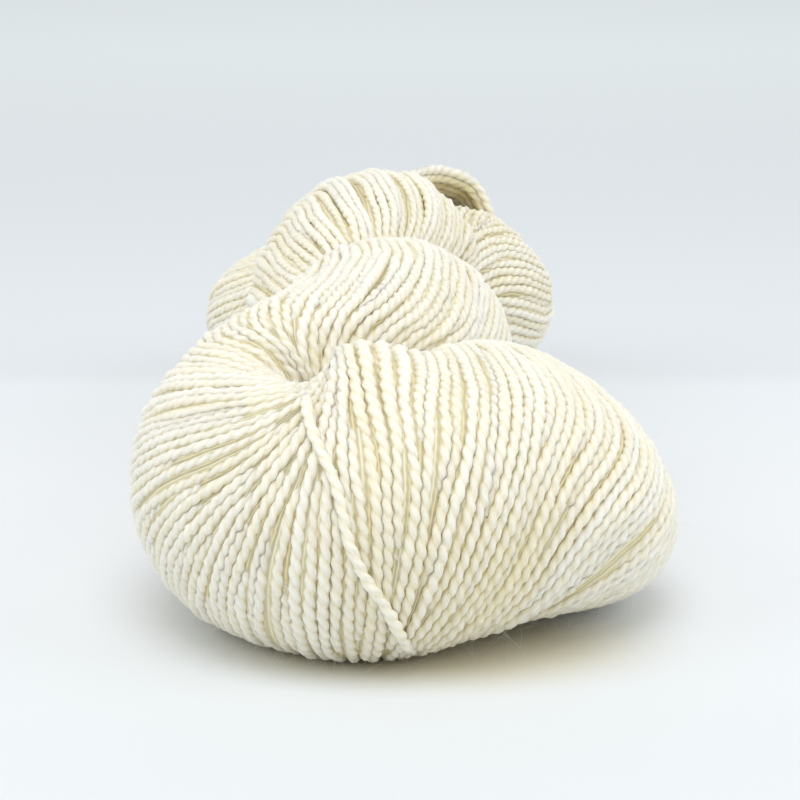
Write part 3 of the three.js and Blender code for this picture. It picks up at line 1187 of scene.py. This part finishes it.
    def shifted(self, arcs: np.ndarray, turns: np.ndarray) -> np.ndarray:
        """Arcs of turns moved sideways by parts of a turn: the straight mix of two rows.

        Args:
            arcs: one row for each turn.
            turns: how far each place moves, of the same shape.

        Returns:
            The moved arcs, which run on past the end of the strand.
        """
        total = self.form.total
        index = np.arange(self.number)[:, None] + turns
        low = np.floor(index).astype(int)
        part = index - low
        columns = np.arange(arcs.shape[1])[None]
        first = arcs[low % self.number, columns] + total * (low // self.number)
        second = arcs[(low + 1) % self.number, columns] + total * ((low + 1) // self.number)
        return first * (1 - part) + second * part

    def smoothed(self, values: np.ndarray, over: int) -> np.ndarray:
        """Values along each turn, each the mean of its neighbours under a raised cosine.

        Args:
            values: one row for each turn, with a last axis of columns.
            over: how many places the mean takes in, an odd number.

        Returns:
            Values of the same shape.
        """
        weights = raised_cosine(over + 2)[1:-1]
        padded = np.pad(values, ((0, 0), (over // 2, over // 2), (0, 0)), "edge")
        return sum(w * padded[:, k:k + self.samples] for k, w in enumerate(weights))

    def crowded(self, room: np.ndarray, loose: np.ndarray) -> tuple[np.ndarray, np.ndarray]:
        """Which turns sink where they are crowded, and how the others spread over them.

        The rank of a turn is its number with the bits reversed, as a fraction, so those that
        sink first are spread evenly. A turn sinks by a smooth step of its rank past the room.
        The spread is the sum of the widths up to a turn, against that of evened-out widths.

        Args:
            room: distance between turns against the spacing, one row for each turn.
            loose: noise that moves the place of sinking.

        Returns:
            How far each turn is sunk, 0 to 1, and its sideways move in turns.
        """
        index = np.arange(self.number)[:, None]
        bits = [((index >> k) & 1) / 2 ** (k + 1) for k in range(self.rank_bits)]
        rank = sum(bits) + 1 / 2 ** (self.rank_bits + 1)
        crowd = smooth_step(rank - room * self.rank_scale - loose, *self.sinks_over)
        width = 1 - (1 - self.crowded_width) * crowd
        taken = np.cumsum(width, 0) - width / 2
        even = self.evened(width, self.even_passes)
        evenly = np.cumsum(even, 0) - even / 2
        spread = np.clip((taken - evenly) / np.maximum(even, self.least_even),
                         -self.most_spread, self.most_spread)
        return crowd, self.smoothed(spread[..., None], self.spread_over)[..., 0]

    def lay_paths(self) -> None:
        """Works out the middle of every turn.

        A turn follows the lean of the form, moved sideways by its spread, the unevenness and
        the partings. Its middle lies under the surface by the depth: sunk less its height, which
        fades with the square root of the room, and more where it is crowded out. Near the floor
        the height z becomes low + soft ln(1 + exp((z - low) / soft)).
        """
        form, number = self.form, self.number
        rng = np.random.default_rng(self.seed)
        index = np.arange(number)[:, None]
        angle = self.angles[None]
        arcs = form.follow(self.starts, self.angles)
        full = np.broadcast_to(angle, arcs.shape)
        gap = self.gaps(form.point(arcs, full))
        room = np.clip(gap / self.spacing, self.least_room, 1)
        crowd, spread = self.crowded(room, CROWDING.at(index, angle))
        sideways = sum(noise.at(index, angle) for noise in SIDEWAYS)
        sideways = sideways + self.loose_turn * rng.uniform(-1, 1, (number, 1))
        sideways = sideways * smooth_step(room, *self.free_room)
        lifted, opened = self.parted(index, angle)
        arcs = self.shifted(arcs, spread + sideways + opened)
        points = form.point(arcs, full)
        normals = form.normal(arcs, full)
        height = sum(noise.at(index, angle) for noise in HEIGHTS)
        height = height + self.loose_height * rng.uniform(-1, 1, (number, 1)) + lifted
        depth = self.sunk - height * np.sqrt(room) + self.buried_by * crowd
        points = points - normals * depth[..., None]
        low, soft = self.floor_height, self.floor_soft
        points[..., 2] = low + soft * np.logaddexp(0, (points[..., 2] - low) / soft)
        points = self.smoothed(points, self.bends_over)
        side = np.cross(normals, unit_rows(np.gradient(points, axis=1)))
        points = points + side * WIGGLE.at(index, angle)[..., None]
        deep = form.buried(points, arcs)
        self.hidden = (crowd > self.crowd_hidden) | (deep > self.hidden_from)
        self.paths, self.normals = points, normals
        # painted shade: darker, warmer on crowded and low turns, on the turns at the back and on
        # those in the middle of the front
        front = (points - FROM_NEAR_END - self.front_shade_middle) / self.front_shade_reach
        loose = self.back_hollow * smooth_step(points[..., 1], *self.back_shade_from)
        loose = loose + self.front_hollow * np.exp(-(front ** 2).sum(-1))
        hollow = self.crowd_hollow * crowd - self.height_hollow * height + self.base_hollow
        self.hollow = np.clip(hollow + loose, 0, self.most_hollow)
        self.tints = np.clip(rng.normal(0, self.tint_spread, number), -1, 1)
        self.phases = rng.uniform(0, 2 * np.pi, number)
        loosened = np.clip(gap / self.spacing - 1, *self.size_room)
        own = self.size_spread * rng.uniform(-1, 1, (number, 1))
        self.sizes = 1 + own + self.size_follows * loosened

    def parted(self, index: np.ndarray, angle: np.ndarray) -> tuple[np.ndarray, np.ndarray]:
        """Rise and sideways move of the turns at the locks and partings.

        Over its run a lock rises by a bell exp(-(d / width)^2) of the turns d from its middle.
        A parting moves the turns away from its middle, half its width for the nearest, and less
        for the others by exp(-(d - 1/2) / fades).

        Args:
            index: numbers of the turns, as a column.
            angle: angles along them, as a row.

        Returns:
            The rise in millimetres and the sideways move in turns, one row for each turn.
        """
        number, start = index + 0.5, self.turn_number
        lifted, opened = 0.0, 0.0
        for lock in LOCKS:
            away = number - start(np.array(lock.arc))
            lifted = lifted + lock.high_by * run_of(lock, angle) * np.exp(-(away / lock.width) ** 2)
        for gap in PARTINGS:
            away = number - np.round(start(np.array(gap.arc)))
            part = gap.wide / 2 / self.spacing * np.exp(-(np.abs(away) - 0.5) / self.fades)
            opened = opened + np.sign(away) * part * run_of(gap, angle)
        return lifted, opened

    def pieces(self) -> list[bpy.types.Object]:
        """Meshes of all turns, in batches that stay small enough for one piece each.

        Returns:
            The mesh objects, numbered along the strand.
        """
        batch, made = Batch(), []
        for k in range(self.number):
            shown = ~self.hidden[k]
            edges = np.flatnonzero(np.diff(np.concatenate([[0], shown.astype(int), [0]])))
            for first, last in zip(edges[::2], edges[1::2]):
                if last - first < self.least_run:
                    continue
                part = slice(max(first - self.past_run, 0), min(last + self.past_run,
                                                                self.samples))
                path = self.paths[k, part]
                low = path[:, 2].mean() < self.low_until
                near = path[:, 1].mean() < self.near_until and not low
                self.yarn.lay(batch, path, self.normals[k, part], self.hollow[k, part],
                              self.sizes[k, part], self.near_step if near else self.far_step,
                              self.phases[k], self.tints[k])
            if batch.triangles() > self.most_triangles or k == self.number - 1:
                made.append(batch.build(f"yarn_turns_{len(made) + 1}"))
                batch = Batch()
        return made


@dataclass
class UnderSkin:
    """Closed skin just under the outer turns, which shows the next turns in the gaps."""

    form: StrandForm
    turns: WoundTurns
    depth: float = 0.88  # under the form
    around: int = 60  # points round the section
    step: float = 1.4  # between its rings
    radius: float = 20.0  # of the strand, which makes a length of an angle
    floor_gap: float = 0.6

    def numbers(self, arcs: np.ndarray, angles: np.ndarray) -> np.ndarray:
        """Number of the turn at each point, with its part, found by following the turns back to
        where they start.

        Args:
            arcs: evenly spaced arcs once round the strand.
            angles: angles round the section.

        Returns:
            One row for each arc.
        """
        total = self.form.total
        laid = self.form.follow(arcs, self.turns.angles)
        columns = np.abs(self.turns.angles[None] - angles[:, None]).argmin(1)
        longer = np.concatenate([arcs - total, arcs, arcs + total])
        starts = [np.interp(arcs, np.concatenate([way - total, way, way + total]), longer)
                  for way in laid[:, columns].T]
        return self.turns.turn_number(np.stack(starts, 1))

    def build(self) -> bpy.types.Object:
        """Builds the skin: the strand form drawn in by the depth along its normal, closed both
        ways, with the number of the turn and the length round it at each point.

        Returns:
            The mesh object.
        """
        form = self.form
        rings = int(form.total / self.step)
        arcs = np.arange(rings) * form.total / rings
        angles = np.arange(self.around) * 2 * np.pi / self.around - np.pi
        a, g = np.meshgrid(arcs, angles, indexing="ij")
        points = form.point(a, g) - form.normal(a, g) * self.depth
        points[..., 2] = np.maximum(points[..., 2], self.floor_gap)
        k, j = np.meshgrid(np.arange(rings), np.arange(self.around), indexing="ij")
        after_k, after_j = (k + 1) % rings * self.around, (j + 1) % self.around
        k = k * self.around
        faces = np.stack([k + j, k + after_j, after_k + after_j, after_k + j], -1)
        number = self.numbers(arcs, angles)
        turns = np.stack([number, g * self.radius, 0 * number], -1)
        return make_mesh("under_turns", points.reshape(-1, 3), faces.reshape(-1, 4),
                         {"turns": turns.reshape(-1, 3)})


@dataclass(frozen=True)
class Lump:
    """A rounded lump of packed turns: its middle as x, t, z and its half sizes."""

    middle: tuple[float, float, float]
    size: tuple[float, float, float]


@dataclass
class PackedTurns:
    """Turns packed in the middle of both folds, under the pinch: closed lumps, with a layer of
    yarns over the top of each, because they show from above."""

    lumps: tuple[Lump, ...] = (Lump((-7.0, 47.0, 24.0), (13.0, 16.0, 19.0)),
                               Lump((-13.0, 33.0, 33.0), (9.0, 8.0, 9.5)),
                               Lump((-5.0, 206.0, 22.0), (15.0, 16.0, 16.5)))
    around: int = 28
    rings: int = 17
    spacing: float = 2.1  # between the yarns over a lump
    shown_to: float = 35.0  # degrees above the level at which those yarns end
    places: int = 40  # along each
    bend: float = 0.3
    laid_in: tuple[float, float] = (0.3, 0.9)  # depth of their middles in the lump
    # painted shade of the yarns over the lumps
    hollow: float = 0.45
    seed: int = 31
    yarn: PlyYarn = PlyYarn()

    def build(self) -> bpy.types.Object:
        """Builds the lumps: middle + size (sin p cos a, sin p sin a, cos p), with a fan of
        triangles to each pole.

        Returns:
            The mesh object.
        """
        batch = Batch()
        angle = np.arange(self.around) * 2 * np.pi / self.around
        polar = (np.arange(self.rings) + 0.5) * np.pi / self.rings
        p, a = np.meshgrid(polar[::-1], angle, indexing="ij")
        ball = np.stack([np.sin(p) * np.cos(a), np.sin(p) * np.sin(a), np.cos(p)], -1)
        ball = np.concatenate([ball.reshape(-1, 3), [[0, 0, -1.0], [0, 0, 1.0]]])
        quads = quad_rings(self.rings, self.around)
        top = (self.rings - 1) * self.around
        k = np.arange(self.around)
        after = (k + 1) % self.around
        poles = top + self.around + np.array([0, 1])
        fans = np.concatenate([np.stack([after, k, 0 * k + poles[0]], 1),
                               np.stack([top + k, top + after, 0 * k + poles[1]], 1)])
        faces = np.concatenate([halved(quads), fans])
        for lump in self.lumps:
            turns = np.stack([ball[:, 0] * lump.size[0] / self.spacing,
                              ball[:, 1] * lump.size[1], 0 * ball[:, 0]], 1)
            batch.add(ball * lump.size + lump.middle + FROM_NEAR_END, faces, turns=turns)
        return batch.build("packed_turns")

    def build_turns(self) -> bpy.types.Object:
        """Builds the yarns over the lumps: middle + (a x, w b cos g, w c sin g), with w the
        height sqrt(1 - x^2) of the slice at x, for g from the far side to the near one.

        Returns:
            The mesh object.
        """
        batch = Batch()
        rng = np.random.default_rng(self.seed)
        g = np.radians(np.linspace(self.shown_to, 180 - self.shown_to, self.places))
        for lump in self.lumps:
            count = int(2 * lump.size[0] / self.spacing)
            for k in range(count):
                x = (k + 0.5) / count * 2 - 1
                w = math.sqrt(1 - x * x)
                ball = np.stack([x + 0 * g, w * np.cos(g), w * np.sin(g)], 1)
                path = ball * lump.size + lump.middle + FROM_NEAR_END
                path[:, 0] += self.bend * np.sin(g * 3 + rng.uniform(0, FULL_TURN))
                away = unit_rows(ball / lump.size)
                path = path - away * rng.uniform(*self.laid_in)
                self.yarn.lay_plain(batch, path, away, self.hollow, rng)
        return batch.build("hub_turns")


@dataclass(frozen=True)
class ArchLayer:
    """A layer of the tucked end: its number of turns, its size against the outer layer, where
    its first turn lies between two turns, and its painted shade in front and how much more
    it has behind."""

    turns: int
    size: float
    start: float
    hollow: float
    hollow_gain: float


@dataclass
class TuckedEnd:
    """The tucked end of the hank over the far fold: turns that arch over a dark recess, lower
    and lower towards the back, in two layers. The recess is dark from its own shade and from
    painted shade on the inner layer, which grows towards the back; the outer layer has less
    painted shade than the other turns."""

    arch: tuple[tuple[float, float, float], ...] = (
        (-9, 176, 52.5), (-3.5, 182, 55.6), (1, 190, 57.2), (5, 196, 57.8), (9, 201, 57.6),
        (14, 204, 56.1), (18.5, 206, 53.2), (21.5, 206, 47.8), (23, 205, 42.2), (23.5, 203, 36))
    foot: tuple[float, float, float] = (8.0, 203.0, 38.0)
    layers: tuple[ArchLayer, ...] = (ArchLayer(9, 1.0, 0.0, -0.15, 0.0),
                                     ArchLayer(8, 0.905, 0.5, 0.3, 0.5))
    reach: float = 11.0  # depth of the hollow
    most: float = 1.25  # angle of the last turn, where the hollow closes
    aside: float = 0.01  # keeps the way from the foot to a point from having no length
    uneven: float = 0.02  # of a turn's size
    shift: float = 0.4  # of a turn along the hank
    places: int = 120  # along the arch
    seed: int = 29
    yarn: PlyYarn = PlyYarn()

    def front(self) -> np.ndarray:
        """Points of a Catmull-Rom curve through the arch, run out straight at its ends.

        Between the knots p1 and p2, at the share f, it is half of 2 p1 + (p2 - p0) f
        + (2 p0 - 5 p1 + 4 p2 - p3) f^2 + (3 p1 - p0 - 3 p2 + p3) f^3.

        Returns:
            One row of x, t, z for each place.
        """
        knots = np.array(self.arch, float)
        knots = np.concatenate([[2 * knots[0] - knots[1]], knots, [2 * knots[-1] - knots[-2]]])
        u = np.linspace(1, len(knots) - 2 - TINY, self.places)
        i = np.floor(u).astype(int)
        f = (u - i)[:, None]
        p0, p1, p2, p3 = knots[i - 1], knots[i], knots[i + 1], knots[i + 2]
        return 0.5 * (2 * p1 + (p2 - p0) * f + (2 * p0 - 5 * p1 + 4 * p2 - p3) * f ** 2
                      + (3 * p1 - p0 - 3 * p2 + p3) * f ** 3)

    def build(self) -> bpy.types.Object:
        """Builds the turns, each at its angle g: foot + size cos(g) (front - foot), moved back
        by reach sin(g).

        Returns:
            The mesh object.
        """
        front, foot = self.front(), np.array(self.foot)
        rng = np.random.default_rng(self.seed)
        batch = Batch()
        for layer in self.layers:
            for k in range(layer.turns):
                g = self.most * (k + layer.start) / layer.turns
                size = layer.size * (math.cos(g) + self.uneven * rng.uniform(-1, 1))
                path = foot + size * (front - foot)
                back = layer.size * self.reach * math.sin(g)
                path[:, 1] += back + self.shift * rng.uniform(-1, 1)
                away = unit_rows(path - foot + [0, self.aside, 0])
                # painted shade, more on the deeper turns of a layer
                hollow = layer.hollow + layer.hollow_gain * k / layer.turns
                self.yarn.lay_plain(batch, path + FROM_NEAR_END, away, hollow, rng)
        return batch.build("tucked_end")


@dataclass
class CrossingYarn:
    """A single yarn that lies across the others in front: arcs and degrees that it passes."""

    form: StrandForm
    route: tuple[tuple[float, float], ...] = (
        (193.6, 98), (194.2, 88), (195.2, 76), (196.4, 64), (197.4, 54), (198.6, 44),
        (199.4, 34), (199.8, 23), (200.0, 13), (200.5, 5), (201.0, -2), (201.7, -8),
        (202.3, -14), (203.0, -23), (203.8, -36), (205.0, -52), (207.0, -70))
    places: int = 200
    smooth_over: int = 23  # places over which the route is evened
    rise: float = 0.28  # of its middle over the form
    tucked: float = -2.2  # of its ends
    tucked_over: float = 2.6  # rows of the route over which it comes out
    floor_height: float = 1.2
    size: float = 0.88
    # its painted shade
    hollow: float = 0.1
    ring_step: float = 0.45
    phase: float = 0.7
    tint: float = -0.1
    yarn: PlyYarn = PlyYarn()

    def build(self) -> bpy.types.Object:
        """Builds the yarn over the form, on a straight mix of the route's rows, evened by a
        raised cosine.

        Returns:
            The mesh object.
        """
        rows = np.arange(len(self.route))
        u = np.linspace(0, rows[-1], self.places)
        columns = (np.interp(u, rows, column) for column in np.array(self.route, float).T)
        kernel = raised_cosine(self.smooth_over)
        arc, angle = (np.convolve(np.pad(column, self.smooth_over // 2, "edge"), kernel, "valid")
                      for column in columns)
        angle = np.radians(angle)
        ends = smooth_step(np.minimum(u, rows[-1] - u), 0.0, self.tucked_over)
        normal = self.form.normal(arc, angle)
        rise = self.tucked + (self.rise - self.tucked) * ends
        path = self.form.point(arc, angle) + normal * rise[:, None]
        path[:, 2] = np.maximum(path[:, 2], self.floor_height)
        batch = Batch()
        self.yarn.lay(batch, path, normal, np.full(len(u), self.hollow),
                      np.full(len(u), self.size), self.ring_step, self.phase, self.tint)
        return batch.build("crossing_yarn")


@dataclass
class LooseFibres:
    """Fine fibres that stand off the yarn, a soft haze along its edges."""

    turns: WoundTurns
    number: int = 2900
    wisps: int = 90  # of them, longer ones along the near lower edge
    edge_below: float = 9.0
    edge_before: float = -90.0
    rings: int = 6
    thickness: float = 0.045  # drawn coarser than the real 0.03, which is too fine to show
    thinning: float = 0.6  # by the tip
    lengths: tuple[float, float] = (1.5, 6.0)
    wisp_gain: float = 2.5
    across: tuple[float, float, float] = (0.31, 0.52, 0.79)  # a way that no hair takes
    stands: tuple[float, float] = (0.15, 0.9)  # how far a fibre points away from the yarn
    strays: float = 0.55  # and any other way
    curl: float = 0.7
    falls: float = 0.5  # how far it bends back to the yarn
    from_middle: float = 0.9  # of the yarn to a fibre's root
    root_height: float = 2.0  # above the floor at least
    floor_gap: float = 0.1
    tint: float = 0.5
    seed: int = 41

    def courses(self) -> np.ndarray:
        """Middle lines of the fibres: start + length (s way + s^2 curl / 2), for s from 0 to 1.

        Returns:
            Points by fibre, ring and axis.
        """
        rng = np.random.default_rng(self.seed)
        high = self.turns.paths[..., 2] > self.root_height
        shown = np.flatnonzero((~self.turns.hidden & high).ravel())
        places = self.turns.paths.reshape(-1, 3)
        edge = shown[(places[shown, 2] < self.edge_below)
                     & (places[shown, 1] < self.edge_before)]
        chosen = np.concatenate([rng.choice(shown, self.number - self.wisps, replace=False),
                                 rng.choice(edge, self.wisps, replace=False)])
        normal = self.turns.normals.reshape(-1, 3)[chosen]
        start = places[chosen] + normal * self.from_middle
        loose = rng.normal(size=(self.number, 3))
        stands = rng.uniform(*self.stands, (self.number, 1))
        way = unit_rows(normal * stands + self.strays * loose)
        curl = self.curl * rng.normal(size=(self.number, 3)) - normal * self.falls
        length = rng.uniform(*self.lengths, (self.number, 1, 1))
        length[-self.wisps:] += self.wisp_gain
        s = np.linspace(0, 1, self.rings)[None, :, None]
        course = start[:, None] + length * (s * way[:, None] + 0.5 * s ** 2 * curl[:, None])
        course[..., 2] = np.maximum(course[..., 2], self.floor_gap)
        return course

    def build(self) -> bpy.types.Object:
        """Builds the fibres as closed three-sided hairs, thinner towards the tip.

        Returns:
            The mesh object.
        """
        course = self.courses()
        way = unit_rows(np.gradient(course, axis=1))
        side = unit_rows(np.cross(way, self.across))
        up = np.cross(way, side)
        angle = (np.arange(3) * 2 * np.pi / 3)[None, None, :, None]
        s = np.linspace(0, 1, self.rings)[None, :, None, None]
        radius = self.thickness / 2 * (1 - self.thinning * s)
        ring = side[:, :, None] * np.cos(angle) + up[:, :, None] * np.sin(angle)
        points = course[:, :, None] + radius * ring
        quads = quad_rings(self.rings, 3)
        last = (self.rings - 1) * 3
        one = np.concatenate([halved(quads), [[2, 1, 0], [last, last + 1, last + 2]]])
        faces = one[None] + (np.arange(self.number) * self.rings * 3)[:, None, None]
        total = self.number * self.rings * 3
        layers = {"hollow": np.zeros(total), "tint": np.full(total, self.tint),
                  "ply": np.ones(total), "fibre": np.zeros((total, 3))}
        return make_mesh("loose_fibres", points.reshape(-1, 3), faces.reshape(-1, 3), layers)


# The studio

class Lamp(Enum):
    """Soft lamps of the studio: place and size in metres, and power in watts."""

    TOP = ((0.0, -0.5, 1.25), 0.9, 6.5)
    LEFT = ((-1.2, -0.6, 0.8), 1.0, 4.8)
    RIGHT = ((1.2, -0.4, 0.7), 1.0, 4.3)
    FRONT = ((0.0, -1.2, 0.8), 1.2, 2.4)
    BACK = ((0.0, 2.0, 1.2), 1.4, 3.0)


@dataclass(frozen=True)
class Tone:
    """Tone of the floor from a distance in metres behind the hank's middle."""

    behind: float
    colour: str


@dataclass(frozen=True)
class FloorFinish:
    """White paper, matt and without grain, whose tone changes softly from near to far, with painted
    light that makes the far floor lighter, and a painted shadow beside the wool, warm with
    the colour that the wool throws on it."""

    name: str = "studio_floor"
    # painted light: the far tones are lighter, standing in for the lamps' light that falls off with
    # distance
    tones: tuple[Tone, ...] = (
        Tone(-0.15, "#DFE3E6"), Tone(-0.05, "#E7EAEE"), Tone(0.09, "#E5E9EE"),
        Tone(0.112, "#DFE3E8"), Tone(0.29, "#DFE4E8"), Tone(1.15, "#F4FBFE"))
    painted_shadow: tuple[float, float, float] = (0.82, 0.75, 0.58)  # painted shadow under the hank, warmed as painted light bounced from the wool
    painted_shadow_middle: tuple[float, float, float] = (0.006, -0.100, 0.0)  # in metres
    painted_shadow_scale: tuple[float, float, float] = (1 / 0.036, 1 / 0.022, 1.0)  # one over its reaches
    painted_shadow_fades: tuple[float, float] = (0.45, 1.25)  # in reaches
    roughness: float = 0.85
    specular: float = 0.2

    def make(self) -> bpy.types.Material:
        """Builds the material: smooth steps in y from tone to tone, times the painted shadow, which
        fades by a smooth step of the distance from its middle in reaches.

        Returns:
            The material.
        """
        material, tree = new_material(self.name)
        place = add_node(tree, "ShaderNodeTexCoord")
        split = add_node(tree, "ShaderNodeSeparateXYZ", {}, {0: place.outputs["Object"]})
        colour = linear(self.tones[0].colour)
        for near, far in zip(self.tones, self.tones[1:]):
            step = add_node(tree, "ShaderNodeMapRange", {"interpolation_type": "SMOOTHSTEP"},
                            {"Value": split.outputs[1], "From Min": near.behind,
                             "From Max": far.behind, "To Min": 0.0, "To Max": 1.0})
            mix = add_node(tree, "ShaderNodeMix", {"data_type": "RGBA"},
                           {0: step.outputs[0], 6: colour, 7: linear(far.colour)})
            colour = mix.outputs[2]
        # painted shadow: the floor is multiplied darker and warmer round the hank's footprint
        away = add_node(tree, "ShaderNodeVectorMath", {"operation": "SUBTRACT"},
                        {0: place.outputs["Object"], 1: self.painted_shadow_middle})
        scaled = add_node(tree, "ShaderNodeVectorMath", {"operation": "MULTIPLY"},
                          {0: away.outputs[0], 1: self.painted_shadow_scale})
        reach = add_node(tree, "ShaderNodeVectorMath", {"operation": "LENGTH"},
                         {0: scaled.outputs[0]})
        fade = add_node(tree, "ShaderNodeMapRange", {"interpolation_type": "SMOOTHSTEP"},
                        {"Value": reach.outputs["Value"], "From Min": self.painted_shadow_fades[0],
                         "From Max": self.painted_shadow_fades[1], "To Min": 1.0, "To Max": 0.0})
        shadowed_paper = add_node(tree, "ShaderNodeMix", {"data_type": "RGBA", "blend_type": "MULTIPLY"},
                        {0: fade.outputs[0], 6: colour, 7: (*self.painted_shadow, 1.0)})
        paper = add_node(tree, "ShaderNodeBsdfPrincipled", {},
                         {"Base Color": shadowed_paper.outputs[2], "Roughness": self.roughness,
                          "Specular IOR Level": self.specular})
        add_node(tree, "ShaderNodeOutputMaterial", {}, {"Surface": paper.outputs[0]})
        return material


@dataclass
class Studio:
    """Pale floor, soft lamps and the camera at the photograph's place."""

    half_floor: float = 6.0  # metres
    daylight: tuple[float, float, float] = (0.965, 0.985, 1.0)  # of the lamps
    room: str = "#FCFCFA"  # light that the room gives back from all sides
    room_strength: float = 0.62
    sensor: float = 36.0
    focal_pixels: float = 2330.0  # focal length of the photograph, fitted to its outlines
    frame_pixels: float = 800.0  # and its width
    clip: tuple[float, float] = (0.01, 50.0)  # metres
    distance: float = 355.0  # before the near end
    height: float = 135.0
    tilt: float = 13.6

    def floor(self) -> None:
        """Level floor round the hank."""
        half = self.half_floor
        corners = np.array([[-half, -half, 0], [half, -half, 0], [half, half, 0],
                            [-half, half, 0]]) / MM
        plane = make_mesh("floor", corners, np.array([[0, 1, 2, 3]]), {})
        plane.data.materials.append(FloorFinish().make())

    def lamps(self) -> None:
        """Area lamps that face the hank and aren't seen themselves, and the room's light."""
        for lamp in Lamp:
            (x, y, z), size, power = lamp.value
            light = bpy.data.lights.new(f"lamp_{lamp.name.lower()}", "AREA")
            light.shape, light.size, light.energy = "DISK", size, power
            light.color = self.daylight
            thing = bpy.data.objects.new(light.name, light)
            thing.location = (x, y, z)
            way = -thing.location.normalized()
            thing.rotation_mode = "QUATERNION"
            thing.rotation_quaternion = way.to_track_quat("-Z", "Y")
            thing.visible_camera = False
            bpy.context.scene.collection.objects.link(thing)
        world = bpy.data.worlds.new("studio_air")
        world.use_nodes = True
        air = world.node_tree.nodes["Background"]
        air.inputs["Color"].default_value = linear(self.room)
        air.inputs["Strength"].default_value = self.room_strength
        bpy.context.scene.world = world

    def camera(self) -> None:
        """Camera before the near end, looking along the hank and down by the tilt."""
        data = bpy.data.cameras.new("camera")
        data.sensor_width = self.sensor
        data.lens = self.sensor * self.focal_pixels / self.frame_pixels
        data.clip_start, data.clip_end = self.clip
        thing = bpy.data.objects.new("camera", data)
        place = np.array([0.0, -LENGTH / 2 - self.distance, self.height]) + TO_MIDDLE
        thing.location = place * MM
        thing.rotation_euler = (math.radians(90 - self.tilt), 0, 0)
        bpy.context.scene.collection.objects.link(thing)
        bpy.context.scene.camera = thing

    def build(self) -> None:
        """Sets up the whole studio, with plain sRGB tones."""
        self.floor()
        self.lamps()
        self.camera()
        bpy.context.scene.view_settings.view_transform = "Standard"


def settle(piece: bpy.types.Object, material: bpy.types.Material, replaces: bool) -> None:
    """Gives a piece its material and its body, and logs its size.

    Args:
        piece: the object.
        material: its finish.
        replaces: whether it stands for the hank's solid.
    """
    piece.data.materials.append(material)
    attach(piece, "root")
    if replaces:
        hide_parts("hank")
    box = np.array([corner[:] for corner in piece.bound_box])
    size = (box.max(0) - box.min(0)) / MM
    piece.data.calc_loop_triangles()
    log.info("%s: %d triangles, %.0f x %.0f x %.0f mm", piece.name,
             len(piece.data.loop_triangles), *size)


def main() -> None:
    """Builds the hank and the studio."""
    logging.basicConfig(level=logging.INFO, format="%(name)s: %(message)s")
    log.info("the frame's solids: %s", ", ".join(sorted(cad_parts)))
    wool = WoolFinish().make()
    under = UnderTurnsFinish().make()
    form = StrandForm()
    turns = WoundTurns(form)
    log.info("%d turns on a strand of %.0f mm", turns.number, form.total)
    for piece in turns.pieces():
        settle(piece, wool, True)
    settle(UnderSkin(form, turns).build(), under, True)
    packed = PackedTurns()
    settle(packed.build(), under, True)
    settle(packed.build_turns(), wool, True)
    settle(CrossingYarn(form).build(), wool, False)
    settle(TuckedEnd().build(), wool, False)
    settle(LooseFibres(turns).build(), wool, False)
    Studio().build()


if __name__ == "__main__":
    main()
